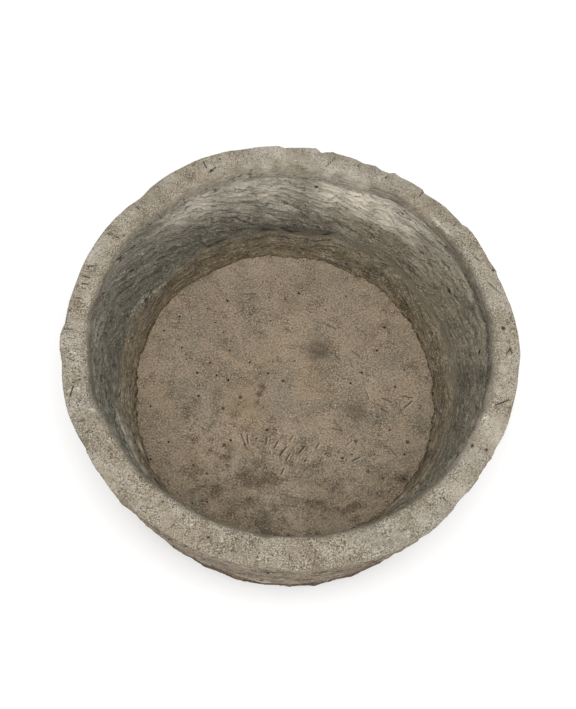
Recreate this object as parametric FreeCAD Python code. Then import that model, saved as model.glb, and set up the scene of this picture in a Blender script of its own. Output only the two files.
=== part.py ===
"""Round trough planter of hewn stone: a ring wall bedded in mortar on a floor slab.

Millimetres, +Z up. The origin is the middle of the underside, so the trough stands on z = 0.
Turns are in degrees from +X, counter-clockwise seen from above.
"""
import FreeCAD
import Part
import math
import os
from FreeCAD import Vector

# Overall form
RIM_RADIUS = 280.0  # mean outside radius at the top of the rim
FOOT_RADIUS = 257.5  # mean outside radius at the ground
HEIGHT = 224.0
BELLY = 3.5  # how far the outside swells past a straight taper, halfway up

# Thickness of the wall, from the rim down to its foot
RIM_WIDTH = 35.0
LEDGE_WALL = 43.5  # just above the ledge inside
FOOT_WALL = 53.5
LEDGE_ABOVE_FLOOR = 48.0  # where the steep upper wall ends
LEDGE_STEP = 3.0  # how far the ledge juts into the trough
LEDGE_DROP = 4.0  # how far the ledge slopes down as it juts

# Worn inner edge of the rim, wider at the back than at the front
WORN_WIDTH = 7.7
WORN_DROP = 12.5  # how far it reaches down the wall
WORN_SHARE = 0.3  # share of its width and drop where it turns from the wall to the rim
WORN_MORE = 2.3
WORN_TURN = 96.0

# Groove under the rim's worn inner edge, on one side only
GROOVE_DEPTH = 4.0
GROOVE_HEIGHT = 12.0
GROOVE_TURN = 20.0  # where it is deepest
GROOVE_REACH = 50.0  # degrees from there to either end

# The two courses and the joint between them
SLAB_THICKNESS = 48.0
SLAB_PROUD = 2.0  # the slab stands this far out from the wall above it
SLAB_ARRIS_HEIGHT = 9.0  # worn lower edge of the slab
SLAB_ARRIS_WIDTH = 6.0
JOINT_THICKNESS = 5.0
JOINT_RECESS = 3.0  # the joint's outer edge is raked back from the wall's face
FILLET_WIDTH = 6.0  # mortar squeezed out over the floor, at the inside foot
FILLET_RISE = 11.0  # and up the wall
FILLET_LIP = 0.8  # thickness of its upper edge
FILLET_HOLLOW = 0.33  # share of its width and rise that is left halfway along, so its face is hollow

# Hand work: the outlines are out of round
TWO_LOBE = 1.0  # how far the rim bulges at two opposite places
TWO_LOBE_TURN = 106.0  # where the first of them is
THREE_LOBE = 0.8
THREE_LOBE_TURN = 13.0
FOUR_LOBE = 1.7
FOUR_LOBE_TURN = 24.0
FOOT_SHIFT = 2.0  # how far the foot is off the middle
FOOT_SHIFT_TURN = 67.0
OPENING_SHIFT = 2.6  # how far the opening is off the middle, so the wall is thicker at the front
OPENING_SHIFT_TURN = 91.0
FLOOR_LOBE = 2.3  # how far the floor's edge bulges at two opposite places
FLOOR_LOBE_TURN = 104.0

# and both faces of the wall are dressed in flat facets
FACETS = 44  # around the outside
FACET_SHIFT = 0.22  # unevenness of the facets' widths, as a share of one facet
HEW_DEPTH = 2.8  # unevenness of the facets, in and out
FACET_ROWS = 4  # from the foot of the wall to the rim
INNER_FACETS = 28  # around the inside
INNER_HEW_DEPTH = 3.2
INNER_FOOT_HEW = 0.8  # the wall's inside foot is dressed truer, where the mortar is struck
INNER_ROWS = 3  # from the ledge to the groove under the rim

# Bites that the chisel took out of the rim's outer edge: where, and how deep
BITES = [
    (23, 2), (43.5, 3), (56, 3), (70, 5), (76, 4.5), (87.5, 4.5), (97, 2.5), (141, 4), (173, 2.5), (194, 3),
    (216, 4), (234.5, 3), (267, 2.5), (322, 3), (332, 4),
]
BITE_ROUND = 34.0  # radius of the hollow that a bite leaves
BITE_SLOPE = 38.0  # degrees from upright

# Numbers for cutting tools only
CLEAR = 20.0  # a tool runs this far past what it cuts
LITRE = 1e6
UNEVEN_STEP = 2.4  # radians from one uneven value to the next, so that none repeats soon

# Each set of uneven values has its own number
WIDTH_COURSE = 0
WALL_COURSE = 1
SLAB_COURSE = 8
INNER_COURSE = 12

RING_FOOT = SLAB_THICKNESS + JOINT_THICKNESS
FILLET_TOP = SLAB_THICKNESS + FILLET_RISE
LEDGE_HEIGHT = SLAB_THICKNESS + LEDGE_ABOVE_FLOOR
LEDGE_FOOT = LEDGE_HEIGHT - LEDGE_DROP
WORN_FOOT = HEIGHT - WORN_DROP
GROOVE_FOOT = WORN_FOOT - GROOVE_HEIGHT


def uneven(index, course):
    """A value from -1 to 1 that looks irregular from one index to the next and repeats on every build."""
    return math.sin(UNEVEN_STEP * index + course) * math.cos(index + UNEVEN_STEP * course)


def lobe(count, turn, first):
    """Bulge of 1 at evenly spaced turns from the first one, and of -1 halfway between them."""
    return math.cos(math.radians(count * (turn - first)))


def polar(radius, turn, height):
    return Vector(radius * math.cos(math.radians(turn)), radius * math.sin(math.radians(turn)), height)


def facet_turn(index, facets):
    return 360.0 / facets * (index + FACET_SHIFT * uneven(index, WIDTH_COURSE))


def closed_wire(corners):
    return Part.makePolygon(corners + corners[:1])


def hewn_block(outlines):
    """Solid between outlines, dressed in flat facets from each outline to the next."""
    return Part.makeLoft(outlines, True, True)


def outside_radius(height):
    """Mean outside radius at a height: a straight taper with a slight belly."""
    share = height / HEIGHT
    return FOOT_RADIUS + (RIM_RADIUS - FOOT_RADIUS) * share + 4 * BELLY * share * (1 - share)


def out_of_round(turn, height):
    """How far the outside departs from a circle: in lobes at the rim, and off the middle at the foot."""
    share = height / HEIGHT
    rim = TWO_LOBE * lobe(2, turn, TWO_LOBE_TURN)
    rim += THREE_LOBE * lobe(3, turn, THREE_LOBE_TURN)
    rim += FOUR_LOBE * lobe(4, turn, FOUR_LOBE_TURN)
    return rim * share + FOOT_SHIFT * lobe(1, turn, FOOT_SHIFT_TURN) * (1 - share)


def outer_outline(height, course, offset=0.0):
    """Closed wire around the stone at a height, with one corner for each facet."""
    corners = []
    for index in range(FACETS):
        turn = facet_turn(index, FACETS)
        radius = outside_radius(height) + out_of_round(turn, height) + HEW_DEPTH * uneven(index, course)
        corners.append(polar(radius + offset, turn, height))
    return closed_wire(corners)


RIM_INSIDE = RIM_RADIUS - RIM_WIDTH
LEDGE_INSIDE = outside_radius(LEDGE_HEIGHT) - LEDGE_WALL
FLOOR_RADIUS = outside_radius(RING_FOOT) - FOOT_WALL


def between(low, high, height):
    """Radius at a height on the straight run between two (radius, height) places."""
    return low[0] + (high[0] - low[0]) * (height - low[1]) / (high[1] - low[1])


def cove_radius(height):
    return between((FLOOR_RADIUS, RING_FOOT), (LEDGE_INSIDE - LEDGE_STEP, LEDGE_FOOT), height)


def upper_radius(height):
    return between((LEDGE_INSIDE, LEDGE_HEIGHT), (RIM_INSIDE, HEIGHT), height)


def opening_share(height):
    """How much the inside at a height takes after the rim's opening, from 0 at the floor to 1."""
    return (height - RING_FOOT) / (HEIGHT - RING_FOOT)


def groove_depth(turn):
    """Depth of the groove under the rim at a turn, fading to nothing at its ends."""
    end = math.cos(math.radians(GROOVE_REACH))
    return GROOVE_DEPTH * max(0.0, lobe(1, turn, GROOVE_TURN) - end) / (1 - end)


def worn_width(turn):
    return WORN_WIDTH + WORN_MORE * lobe(1, turn, WORN_TURN)


def inner_outline(height, radius, hew, course, worn=0.0, grooved=0.0, level=None):
    """Closed wire around the inside of the wall at a height, drawn at another level if one is given.

    The worn share is how far it lies across the rim's worn edge, the grooved share how far into the groove.
    """
    share = opening_share(height)
    corners = []
    for index in range(INNER_FACETS):
        turn = facet_turn(index, INNER_FACETS)
        shift = OPENING_SHIFT * lobe(1, turn, OPENING_SHIFT_TURN) * share
        shift += FLOOR_LOBE * lobe(2, turn, FLOOR_LOBE_TURN) * (1 - share)
        cut = worn * worn_width(turn) + grooved * groove_depth(turn)
        reach = radius + shift + cut + hew * uneven(index, course)
        corners.append(polar(reach, turn, height if level is None else level))
    return closed_wire(corners)


def foot_outline(level, offset=0.0):
    """The wall's inside foot, drawn at a level."""
    return inner_outline(RING_FOOT, FLOOR_RADIUS + offset, INNER_FOOT_HEW, INNER_COURSE, level=level)


def fillet_outline(offset=0.0, level=FILLET_TOP):
    """The wall's inside where the mortar fillet ends, drawn at a level."""
    radius = cove_radius(FILLET_TOP) + offset
    return inner_outline(FILLET_TOP, radius, INNER_FOOT_HEW, INNER_COURSE, level=level)


def hollow():
    """The space inside the wall: a cove up to the ledge, the steep upper wall, and the rim's worn edge."""
    ledge_course = INNER_COURSE + 1
    rim_course = ledge_course + INNER_ROWS
    outlines = [
        foot_outline(RING_FOOT - CLEAR),
        foot_outline(RING_FOOT),
        fillet_outline(),
        inner_outline(LEDGE_FOOT, cove_radius(LEDGE_FOOT), INNER_HEW_DEPTH, ledge_course),
    ]
    for row in range(INNER_ROWS + 1):
        height = LEDGE_HEIGHT + (GROOVE_FOOT - LEDGE_HEIGHT) * row / INNER_ROWS
        outlines.append(inner_outline(height, upper_radius(height), INNER_HEW_DEPTH, ledge_course + row))

    worn_radius = upper_radius(WORN_FOOT)
    worn_middle = HEIGHT - WORN_SHARE * WORN_DROP

    def rim_outline(height, **shares):
        return inner_outline(height, worn_radius, INNER_HEW_DEPTH, rim_course, **shares)

    outlines += [
        rim_outline((GROOVE_FOOT + WORN_FOOT) / 2, grooved=1.0),
        rim_outline(WORN_FOOT),
        rim_outline(worn_middle, worn=WORN_SHARE),
        rim_outline(HEIGHT, worn=1.0),
        rim_outline(HEIGHT, worn=1.0, level=HEIGHT + CLEAR),
    ]
    return hewn_block(outlines)


def rim_bites():
    """Leaning round tools set around the rim, each of which takes one bite out of its outer edge."""
    tools = []
    length = HEIGHT
    lean = math.radians(BITE_SLOPE)
    for turn, depth in BITES:
        edge = outside_radius(HEIGHT) + out_of_round(turn, HEIGHT)
        axis = polar(-math.sin(lean), turn, math.cos(lean))
        middle = polar(edge + BITE_ROUND / math.cos(lean) - depth, turn, HEIGHT)
        tools.append(Part.makeCylinder(BITE_ROUND, length, middle - axis * (length / 2), axis))
    return tools


def make_wall_ring():
    outlines = []
    for row in range(FACET_ROWS + 1):
        height = RING_FOOT + (HEIGHT - RING_FOOT) * row / FACET_ROWS
        outlines.append(outer_outline(height, WALL_COURSE + row))
    return hewn_block(outlines).cut([hollow()] + rim_bites())


def make_base_slab():
    return hewn_block([
        outer_outline(0, SLAB_COURSE, SLAB_PROUD - SLAB_ARRIS_WIDTH),
        outer_outline(SLAB_ARRIS_HEIGHT, SLAB_COURSE, SLAB_PROUD),
        outer_outline(SLAB_THICKNESS, SLAB_COURSE + 1, SLAB_PROUD),
    ])


def make_mortar_bed():
    """The bed under the wall, and the fillet that was squeezed out at the wall's inside foot."""
    bed = hewn_block([
        outer_outline(SLAB_THICKNESS, WALL_COURSE, -JOINT_RECESS),
        outer_outline(RING_FOOT, WALL_COURSE, -JOINT_RECESS),
    ])
    mass = bed.fuse(hewn_block([foot_outline(RING_FOOT), fillet_outline()]))
    space = hewn_block([
        foot_outline(SLAB_THICKNESS - CLEAR, -FILLET_WIDTH),
        foot_outline(SLAB_THICKNESS, -FILLET_WIDTH),
        foot_outline(SLAB_THICKNESS + FILLET_RISE * FILLET_HOLLOW, -FILLET_WIDTH * FILLET_HOLLOW),
        fillet_outline(-FILLET_LIP),
        fillet_outline(-FILLET_LIP, FILLET_TOP + CLEAR),
    ])
    return mass.cut(space).removeSplitter()


def main():
    parts = {
        "wall_ring": make_wall_ring(),
        "mortar_bed": make_mortar_bed(),
        "base_slab": make_base_slab(),
    }
    os.makedirs("parts", exist_ok=True)
    for name, shape in parts.items():
        (solid,) = shape.Solids
        solid.exportStep(f"parts/{name}.step")
        print(name, "valid" if solid.isValid() else "broken", round(solid.Volume / LITRE, 2), "litres")


main()
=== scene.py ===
"""Looks of a round trough planter of hewn stone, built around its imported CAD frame.

Metres and +Z up, as in the CAD model. A turn is in degrees from +X, counter-clockwise seen from above.
Marks on the floor are placed by the photograph's pixels and carried onto the stone along sight lines.
Marks on the wall are placed by turn and radius on the rim, and by turn and height inside.
"""
import math
import random

import bpy
import numpy as np
from mathutils import Matrix, Vector, noise
from mathutils.bvhtree import BVHTree


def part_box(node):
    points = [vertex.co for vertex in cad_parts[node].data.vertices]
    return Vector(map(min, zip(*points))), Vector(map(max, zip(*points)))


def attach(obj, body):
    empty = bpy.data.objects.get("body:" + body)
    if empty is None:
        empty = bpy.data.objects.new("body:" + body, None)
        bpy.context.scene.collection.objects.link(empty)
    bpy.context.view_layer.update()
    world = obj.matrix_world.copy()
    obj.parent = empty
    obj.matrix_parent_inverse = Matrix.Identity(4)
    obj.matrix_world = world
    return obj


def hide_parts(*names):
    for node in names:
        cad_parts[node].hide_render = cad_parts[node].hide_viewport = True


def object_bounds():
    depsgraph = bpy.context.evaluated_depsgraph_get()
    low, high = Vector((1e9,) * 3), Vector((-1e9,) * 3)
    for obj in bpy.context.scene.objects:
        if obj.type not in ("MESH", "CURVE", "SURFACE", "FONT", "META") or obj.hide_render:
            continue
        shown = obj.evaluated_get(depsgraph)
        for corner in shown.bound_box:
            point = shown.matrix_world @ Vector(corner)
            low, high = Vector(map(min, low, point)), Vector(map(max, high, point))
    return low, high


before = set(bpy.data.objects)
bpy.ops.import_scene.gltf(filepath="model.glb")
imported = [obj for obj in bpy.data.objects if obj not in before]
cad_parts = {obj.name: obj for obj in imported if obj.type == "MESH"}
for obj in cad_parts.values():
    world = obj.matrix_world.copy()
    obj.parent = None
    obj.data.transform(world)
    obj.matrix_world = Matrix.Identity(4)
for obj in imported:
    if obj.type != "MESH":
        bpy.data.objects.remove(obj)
cad_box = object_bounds()
MM = 0.001

# Sizes of the stones, as in the CAD model
HEIGHT = cad_box[1].z
FLOOR_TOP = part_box("base_slab")[1].z
RING_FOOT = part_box("wall_ring")[0].z
FILLET_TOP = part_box("mortar_bed")[1].z
RIM_RADIUS = 0.280
FOOT_RADIUS = 0.2575
BELLY = 0.0035
RIM_WIDTH = 0.035
RIM_EDGE = 0.0015  # worn outer edge of the rim
CUT_REACH = 0.016  # how far the chisel's cuts in the rim's edge run down the outside
LEDGE_HEIGHT = 0.096
LEDGE_RADIUS = 0.227
FLOOR_RADIUS = 0.211
SLAB_PROUD = 0.002
SLAB_ARRIS = 0.008
JOINT_RECESS = 0.003
FILLET_WIDTH = 0.006

# Finer forms of the stones
ARRIS_REACH = 0.7  # width of the slab's worn lower edge, relative to its height
LEDGE_ROUND = 0.005
GROOVE_DEPTH = 0.017  # from the rim down to the middle of the groove under its inner edge
GROOVE_HALF = 0.005
DEEPEST_UNDERCUT_MM = 3
BEVEL_STEEPNESS = 1.6  # drop of the rim's worn inner edge, relative to its width
CUT_DROP = 0.6  # how far a cut lowers the rim's edge, relative to how far it reaches in
CUT_FROM = 0.6  # share of the rim's width from which a cut lowers it
CUTS_EVENED = range(-18, 19, 3)  # turns over which the single cuts are evened out
TRUED_SHARE = 0.6  # of the inside facets' depth, lost between two depths under the rim
TRUED_FROM = 0.045
TRUED_TO = 0.012
SEATED_FROM = 0.003  # heights over the wall's foot between which its roughness grows from none
SEATED_TO = 0.014
CREVICE_ABOVE = 0.002  # from the ledge up to the middle of the crevice over it
CREVICE_HALF = 0.0025
CREVICE_WANDER = 0.003
CREVICE_DEPTH_MM = 4.0

# The stone's beds are thinner upwards than they are wide, and those of the upper wall dip towards +X and +Y
BED_DIP = (0.22, 0.40)
BED_SQUEEZE = 2.2
BED_THICKNESS = 0.012
BED_WANDER = 1.6  # how far a bed strays from its level, in thicknesses
BED_STRAY_SIZE = 0.03
BED_STRAY_STRETCH = (0.6, 0.6, 1.0)

# Unevenness around the stones: (turn, amount) pairs. The rim's edge runs straight from each to the next
RIM_EDGE_MM = [
    (0, 0.5), (4, 2.5), (10, 2), (14, 1.5), (20, 0), (26, -0.5), (27.5, 1), (31, -1), (34, -0.5), (40, 1.5),
    (42, 1), (43.5, -1.5), (45, -1), (50, 0), (54, -1), (57, -2), (58, 0.5), (62, 0), (65, -1), (67, 0.5),
    (68.5, -3), (71, -3.5), (72.5, -1), (76, -3.5), (78, -1.5), (84, -0.5), (85, 0.5), (88, -3), (89.5, 2),
    (92, 1.5), (95, 0.5), (98, 0), (100, 3), (110, 3), (114, 4.5), (122, 5), (128, 3.5), (133, 2.5),
    (137, 1), (141, -2.5), (145, -0.5), (150, 0.5), (156, 0), (160, -0.5), (165, -0.5), (170, -1.5),
    (176, -1.5), (183, -2), (186, 1.5), (190, 1.5), (194, -1.5), (200, 0.5), (207, 2), (211, 0.5),
    (216, -3), (218, 0), (224, 0.5), (229, 2), (233, -1), (236, -1), (238, 1), (245, 0), (252, 1),
    (260, 0.5), (267, -0.5), (272, 0), (277, 2), (285, 1.5), (292, 2), (300, 3.5), (308, 4), (312, 3.5),
    (317, 0.5), (320, -3), (325, -3.5), (332, -5), (337, -4), (341, -1.5), (350, -1), (355, 0),
]
# The others run smoothly
FOOT_OUTLINE_MM = [
    (0, 0.5), (90, 1.5), (180, 0.5), (215, -2.5), (235, -6), (250, -4.5), (265, -1), (287, 1), (300, -1),
    (320, -0.5), (340, 0.5),
]
RIM_INSIDE_MM = [
    (0, 1.5), (30, 2), (60, 2.5), (80, -0.5), (100, 1.5), (114, 3.5), (128, 1.5), (142, 0.5), (160, 2.5),
    (180, 2.5), (205, 0.5), (218, -3), (240, -3.5), (270, -4), (298, -1.5), (320, -1.5), (340, -1),
]
FLOOR_EDGE_MM = [
    (0, -2), (7, -3.5), (15, -2.5), (40, -2), (50, 1), (55, 2), (62, -0.5), (75, -1), (82, 0.5), (90, -1),
    (97, 1), (103, 3), (115, 2), (135, 2.5), (153, 3.5), (160, 0), (166, -2.5), (175, -1), (188, -4),
    (195, -3.5), (203, -1), (212, 1), (220, 3), (228, 3.5), (240, 3), (300, 3), (310, 3.5), (322, 2.5),
    (333, 1), (345, -0.5),
]
BEVEL_MM = [
    (0, 7), (60, 7), (80, 12), (95, 12), (113, 14), (135, 9), (160, 7), (180, 6), (205, 7), (222, 6),
    (250, 6), (290, 6), (310, 6), (330, 8), (345, 7),
]
UNDERCUT_MM = [(0, 3), (25, 3), (40, 1.8), (55, 1), (72, 0), (300, 0), (335, 1.5)]
LEDGE_STEP_MM = [
    (0, 1.5), (50, 1.5), (80, 3), (100, 4.5), (125, 5.5), (150, 5), (180, 3.5), (220, 3), (270, 2.5),
    (320, 2),
]
LEDGE_LIFT_MM = [
    (0, 0), (60, -2), (80, 0), (100, 1), (110, 5), (118, 2), (130, 4), (145, -3), (155, 1), (165, 11),
    (174, -2), (185, 0), (230, 0), (300, 2),
]
# How strongly a look shows around the wall, from 0 to 1
LEDGE_CREVICE = [
    (0, 0.1), (50, 0.1), (72, 0.2), (82, 0.9), (130, 1.0), (155, 0.9), (175, 0.4), (230, 0.2), (300, 0.3),
]
COOLNESS = [
    (0, 0.6), (12, 0.1), (40, 0), (78, 0.2), (90, 0.6), (115, 0.8), (150, 1), (200, 1), (230, 0.6),
    (330, 0.6),
]
WARMTH = [(0, 0.5), (15, 0.8), (60, 0.9), (80, 0.6), (95, 0.1), (115, 0), (200, 0), (250, 0.3), (330, 0.4)]
# Paler upper wall, partly painted light where the back wall faces the lamp
PALE_UPPER = [
    (0, 0.1), (35, 0.4), (60, 0.9), (80, 1.0), (100, 0.9), (125, 0.6), (145, 0.2), (200, 0.1), (330, 0.1),
]
# Darker towards the ledge
DARKER_DOWN = [
    (0, 0.4), (40, 0.3), (70, 0.5), (85, 1.0), (130, 0.9), (150, 0.7), (165, 0.5), (185, 0.2), (330, 0.3),
]
SHADED_BEVEL = [
    (0, 1), (20, 0.9), (45, 0.5), (70, 0.2), (82, 0.0), (125, 0.1), (145, 0.5), (165, 0.3), (185, 0.6),
    (207, 1.0), (222, 0.7), (270, 0.6), (305, 0.9), (322, 0.6), (340, 0.6),
]
HATCHED = [
    (0, 0.3), (40, 0.5), (60, 0.3), (90, 0.4), (120, 1), (215, 1), (240, 0.5), (280, 0.6), (310, 0.3),
    (345, 0.4),
]
STIPPLED = [
    (0, 1.15), (30, 1.1), (60, 0.85), (120, 0.8), (150, 1.0), (190, 1.2), (225, 1.05), (270, 1.2),
    (310, 1.05), (340, 1.0),
]
STREAKED = [
    (0, 0.6), (20, 0.4), (45, 0.2), (70, 0.1), (140, 0.1), (165, 0.3), (180, 0.5), (195, 0.9), (215, 1.0),
    (240, 1.0), (320, 1.0), (340, 0.9),
]
# Strength of the painted shade in split gaps and of the painted highlight on their lips
SPLIT_SHADING = [(0, 1), (70, 0.95), (90, 0.75), (120, 0.65), (140, 0.8), (160, 1), (330, 1)]
# Painted highlight along the wall's outer foot at the front
LIT_FOOT_LIP = [(0, 0), (225, 0), (250, 0.8), (290, 0.9), (310, 0.2), (330, 0)]
JOINT_DARK = [
    (0, 0.9), (35, 0.8), (50, 0.4), (70, 0.4), (140, 0.4), (157, 0.4), (165, 0.8), (212, 0.8), (225, 0.5),
    (250, 0.3), (310, 0.8),
]

# Camera, at the photograph's viewing angle
PHOTO_WIDTH = 576
PHOTO_HEIGHT = 709
LENS = 50.0
SENSOR = 36.0  # along the photograph's long side
CAMERA_TARGET = Vector((-0.0025, -0.021, HEIGHT))
CAMERA_DISTANCE = 1.195
CAMERA_ELEVATION = 67.02
CAMERA_ROLL = 6.87

# Light and stage: the open sky of a studio, one lamp, and a pale floor
SKY_STRENGTH = 0.9
LAMP_PLACE = Vector((0.05, -0.9, 2.6))
LAMP_TARGET = Vector((0, 0, 0.1))
LAMP_SIZE = 2.0
LAMP_POWER = 44.0
LIGHT_LEVEL = 1.4  # light on a level surface, relative to one that shows a white object as white
STAGE_REACH = 6.0
STAGE_COLOUR = (0.95, 0.95, 0.95, 1)
STAGE_ROUGHNESS = 0.9

# Ranges of a noise over which stone is painted dark in its hollows and pale on its crests: painted shade and
# painted highlight of its relief, over the grain's own tone
BED_HOLLOW_SHADE = (0.49, 0.36)
BED_CREST_HIGHLIGHT = (0.52, 0.66)
GRAIN_HOLLOW_SHADE = (0.5, 0.365)
GRAIN_CREST_HIGHLIGHT = (0.515, 0.65)

# Reach and strength of looks
PALE_AND_LIT_COLOUR = (312, 299, 276)  # pale patches and painted highlights, past white on screen, because it only ever shows in part
STONE_GLOSS = 0.2
WALL_STIPPLE = 0.75
STROKE_RADIUS = 0.25  # how much radius counts for the chisel's strokes, which draws them out across the rim
BEVEL_BELOW = 0.003  # the worn inner edge's look starts this far below it and ends this far beside it
BEVEL_BESIDE = 0.005
RIM_LOOK_BELOW = 0.009  # height over which the rim's look fades out outside

# The hewn facets of the CAD model, by their width in degrees, and how finely they are read off it
OUTSIDE_FACET = 360 / 44
INSIDE_FACET = 360 / 28
GROOVE_FOOT = HEIGHT - 0.0245  # the facets inside are read up to here
FACE_STEP = 0.5
FACE_TURNS = np.arange(0, 360, FACE_STEP)
FACE_LEVELS = 32
FACE_RUN = 1.5  # facets on either side over which a face's run is averaged

# How finely the stones are cut into faces
COLUMNS = 720
INSIDE_ROWS = 64
BEVEL_ROWS = 8
RIM_ROWS = 18
OUTSIDE_ROWS = 40
UNDER_ROWS = 4
OUTSIDE_CROWDING = 1.15  # rows outside lie closer together towards the rim
SIDE_ROWS = 11
ARRIS_ROWS = 4
FILLET_ROWS = 7
BED_SHARES = (0.0, 0.5, 1.0)
FLOOR_CELLS = 274

# Layout of the bake maps, in shares of a map
BAKE_GAP = 0.005
BAKE_FLOOR = 0.74
BAKE_FLOOR_MIDDLE = (0.375, 0.625)
BAKE_SIDES = 0.24
BAKE_UNDER = 0.2
BAKE_UNDER_MIDDLE = (0.87, 0.12)

# Forms of the marks. Pits, lines, cracks, the crevice and pinholes are painted dark as their shade
CRISP = 4  # sharpness of the edges of pits, holes and chips
PIT_SPREAD = 1.3  # width over which a pit fades out, relative to its own
RIM_PIT_SHADE = 0.66
WALL_PIT_SHADE = 0.75
RIM_LINE_FORM = (3.2, 1.5, 0.7)  # width in mm, depth in mm, darkness of its painted shade
CRACK_FORM = (3.6, 2.5, 0.62)
CRACK_LIP_MM = 3  # how far over a crack its painted highlight lies, and how wide that is
CRACK_LIP_HIGHLIGHT = 0.4
CREVICE_SHADE = 0.7
SCRAPE_WIDTH = 0.0024
RIM_PALE_SHARE = 0.5  # strength of the rim's pale clouds
PINHOLE_WIDTHS_MM = (2.6, 3.5)
PINHOLE_DEPTH_MM = 2.5
PINHOLE_SHADE = 1.1
BROWN_WIDTHS_MM = (4, 6.5)
BROWN_DEPTH_MM = 1.0
SCRATCH_WIDTH = 0.0022
SCRATCH_DEPTH_MM = 0.8
SCRATCH_HIGHLIGHT_WIDTH = 0.0024
SCRATCH_HIGHLIGHT_SHIFT = Vector((0.0022, -0.0008, 0))  # from a scratch to the painted highlight beside it
UNEVEN_STRENGTH = (0.7, 1.0)  # of brown pits and scratches
FLOOR_HIGHEST_MM = 0.6

# Marks on the rim, by turn and radius in mm. Pits are (turn, radius, width in mm, depth in mm)
RIM_PITS = [
    (11, 264.5, 6, 3), (14.5, 246, 4, 3), (67.5, 244, 3, 2), (116.5, 275.5, 4, 2.5), (120, 263, 5, 2.5),
    (153, 255.5, 4, 3), (240.5, 251.5, 4, 3), (255.2, 261.5, 4, 3), (334.5, 250.5, 5, 2),
    (335.5, 268, 5, 2), (28, 277, 5, 2), (172, 274, 4, 2), (305, 266, 3, 2), (290, 275, 4, 2),
]
# Lines run from one (turn, radius) to another
RIM_LINES = [
    ((21, 273), (25, 263)), ((3.2, 264), (5, 270)), ((5, 270), (3.5, 271)), ((32, 266), (33.5, 264)),
    ((84, 271), (86, 256)), ((121, 279), (121, 268)), ((118.5, 265), (121, 261)),
    ((143.5, 277), (144.2, 264)), ((155, 274), (154.5, 258)), ((166, 272), (165, 262)),
    ((169, 275), (169, 263)), ((171, 271), (171, 262)), ((175.5, 272), (175.3, 263)),
    ((184.6, 277), (184.6, 266)), ((199, 258), (199.5, 268)), ((200.5, 268), (203, 274)),
    ((192.5, 272), (193.5, 264)), ((213, 277), (214, 262)), ((288, 279), (288.5, 272)),
    ((318.5, 276), (318, 262)), ((348, 258), (350.5, 272)), ((45, 277), (44.5, 268)),
    ((57.5, 276), (57.5, 268)), ((68.5, 274), (68.5, 266)), ((77, 274), (77, 268)),
]
RIM_SCRAPES = [
    ((43.3, 255), (49.8, 254.5)), ((47.2, 254), (47.8, 248)), ((43.3, 255), (44, 253)),
    ((209, 251), (208, 256)), ((258.5, 260), (258.6, 258)), ((201.6, 275), (201.6, 262)),
    ((191, 268), (191.5, 262)), ((305, 275), (305.5, 271)), ((301, 256), (301.5, 251)),
    ((250, 258), (250, 255)), ((2.8, 271), (2.5, 266)),
]
# Fresh chips are (turn, radius, width in mm)
RIM_CHIPS = [(343.8, 251.5, 6), (343.2, 250, 4.5), (347.4, 255, 3.2)]
# Clouds of colour are (turn, radius, width in mm, strength)
RIM_STAINS = [
    (84, 266, 22, 0.7), (97, 262, 20, 0.5), (127, 265, 18, 0.6), (166, 268, 20, 0.6), (277, 271, 20, 0.6),
    (45, 272, 18, 0.7), (214, 268, 20, 0.7), (233, 275, 18, 0.5), (319, 270, 24, 0.5), (349, 264, 16, 0.5),
    (335, 268, 12, 0.6), (110, 276, 24, 0.4), (180, 270, 20, 0.4), (53, 275, 20, 0.7), (141, 272, 18, 0.5),
    (262, 262, 64, 0.55), (282, 258, 54, 0.5), (222, 258, 30, 0.25), (8, 256, 40, 0.2), (40, 256, 40, 0.2),
    (82, 258, 36, 0.3), (17, 261, 34, 0.55), (162, 258, 28, 0.65), (228, 250, 22, 0.5), (336, 263, 24, 0.5),
    (324, 262, 24, 0.4), (276, 274, 30, 0.5), (288, 264, 30, 0.4),
]
RIM_PALE_CLOUDS = [
    (187, 268, 30, 0.5), (195, 262, 24, 0.5), (20, 264, 44, 0.3), (325, 262, 34, 0.4), (342, 262, 30, 0.5),
    (160, 274, 30, 0.6), (72, 262, 30, 0.3), (224, 272, 30, 0.4), (310, 265, 24, 0.3), (322, 275, 44, 0.9),
    (340, 273, 48, 1.0), (20, 273, 40, 0.9), (101, 274, 40, 0.9), (2, 268, 44, 0.5), (162, 275, 34, 0.9),
    (341, 263, 40, 0.7), (77, 243, 44, 1.2), (84, 243, 44, 1.2), (90, 246, 26, 0.5), (104, 246, 26, 0.7),
    (118, 246, 26, 0.6), (171, 270, 34, 0.4), (193, 266, 24, 0.35), (354, 268, 34, 0.6),
    (348, 250, 20, 0.4), (330, 250, 20, 0.4), (114, 274, 34, 0.45), (66, 250, 22, 0.4),
]
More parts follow.
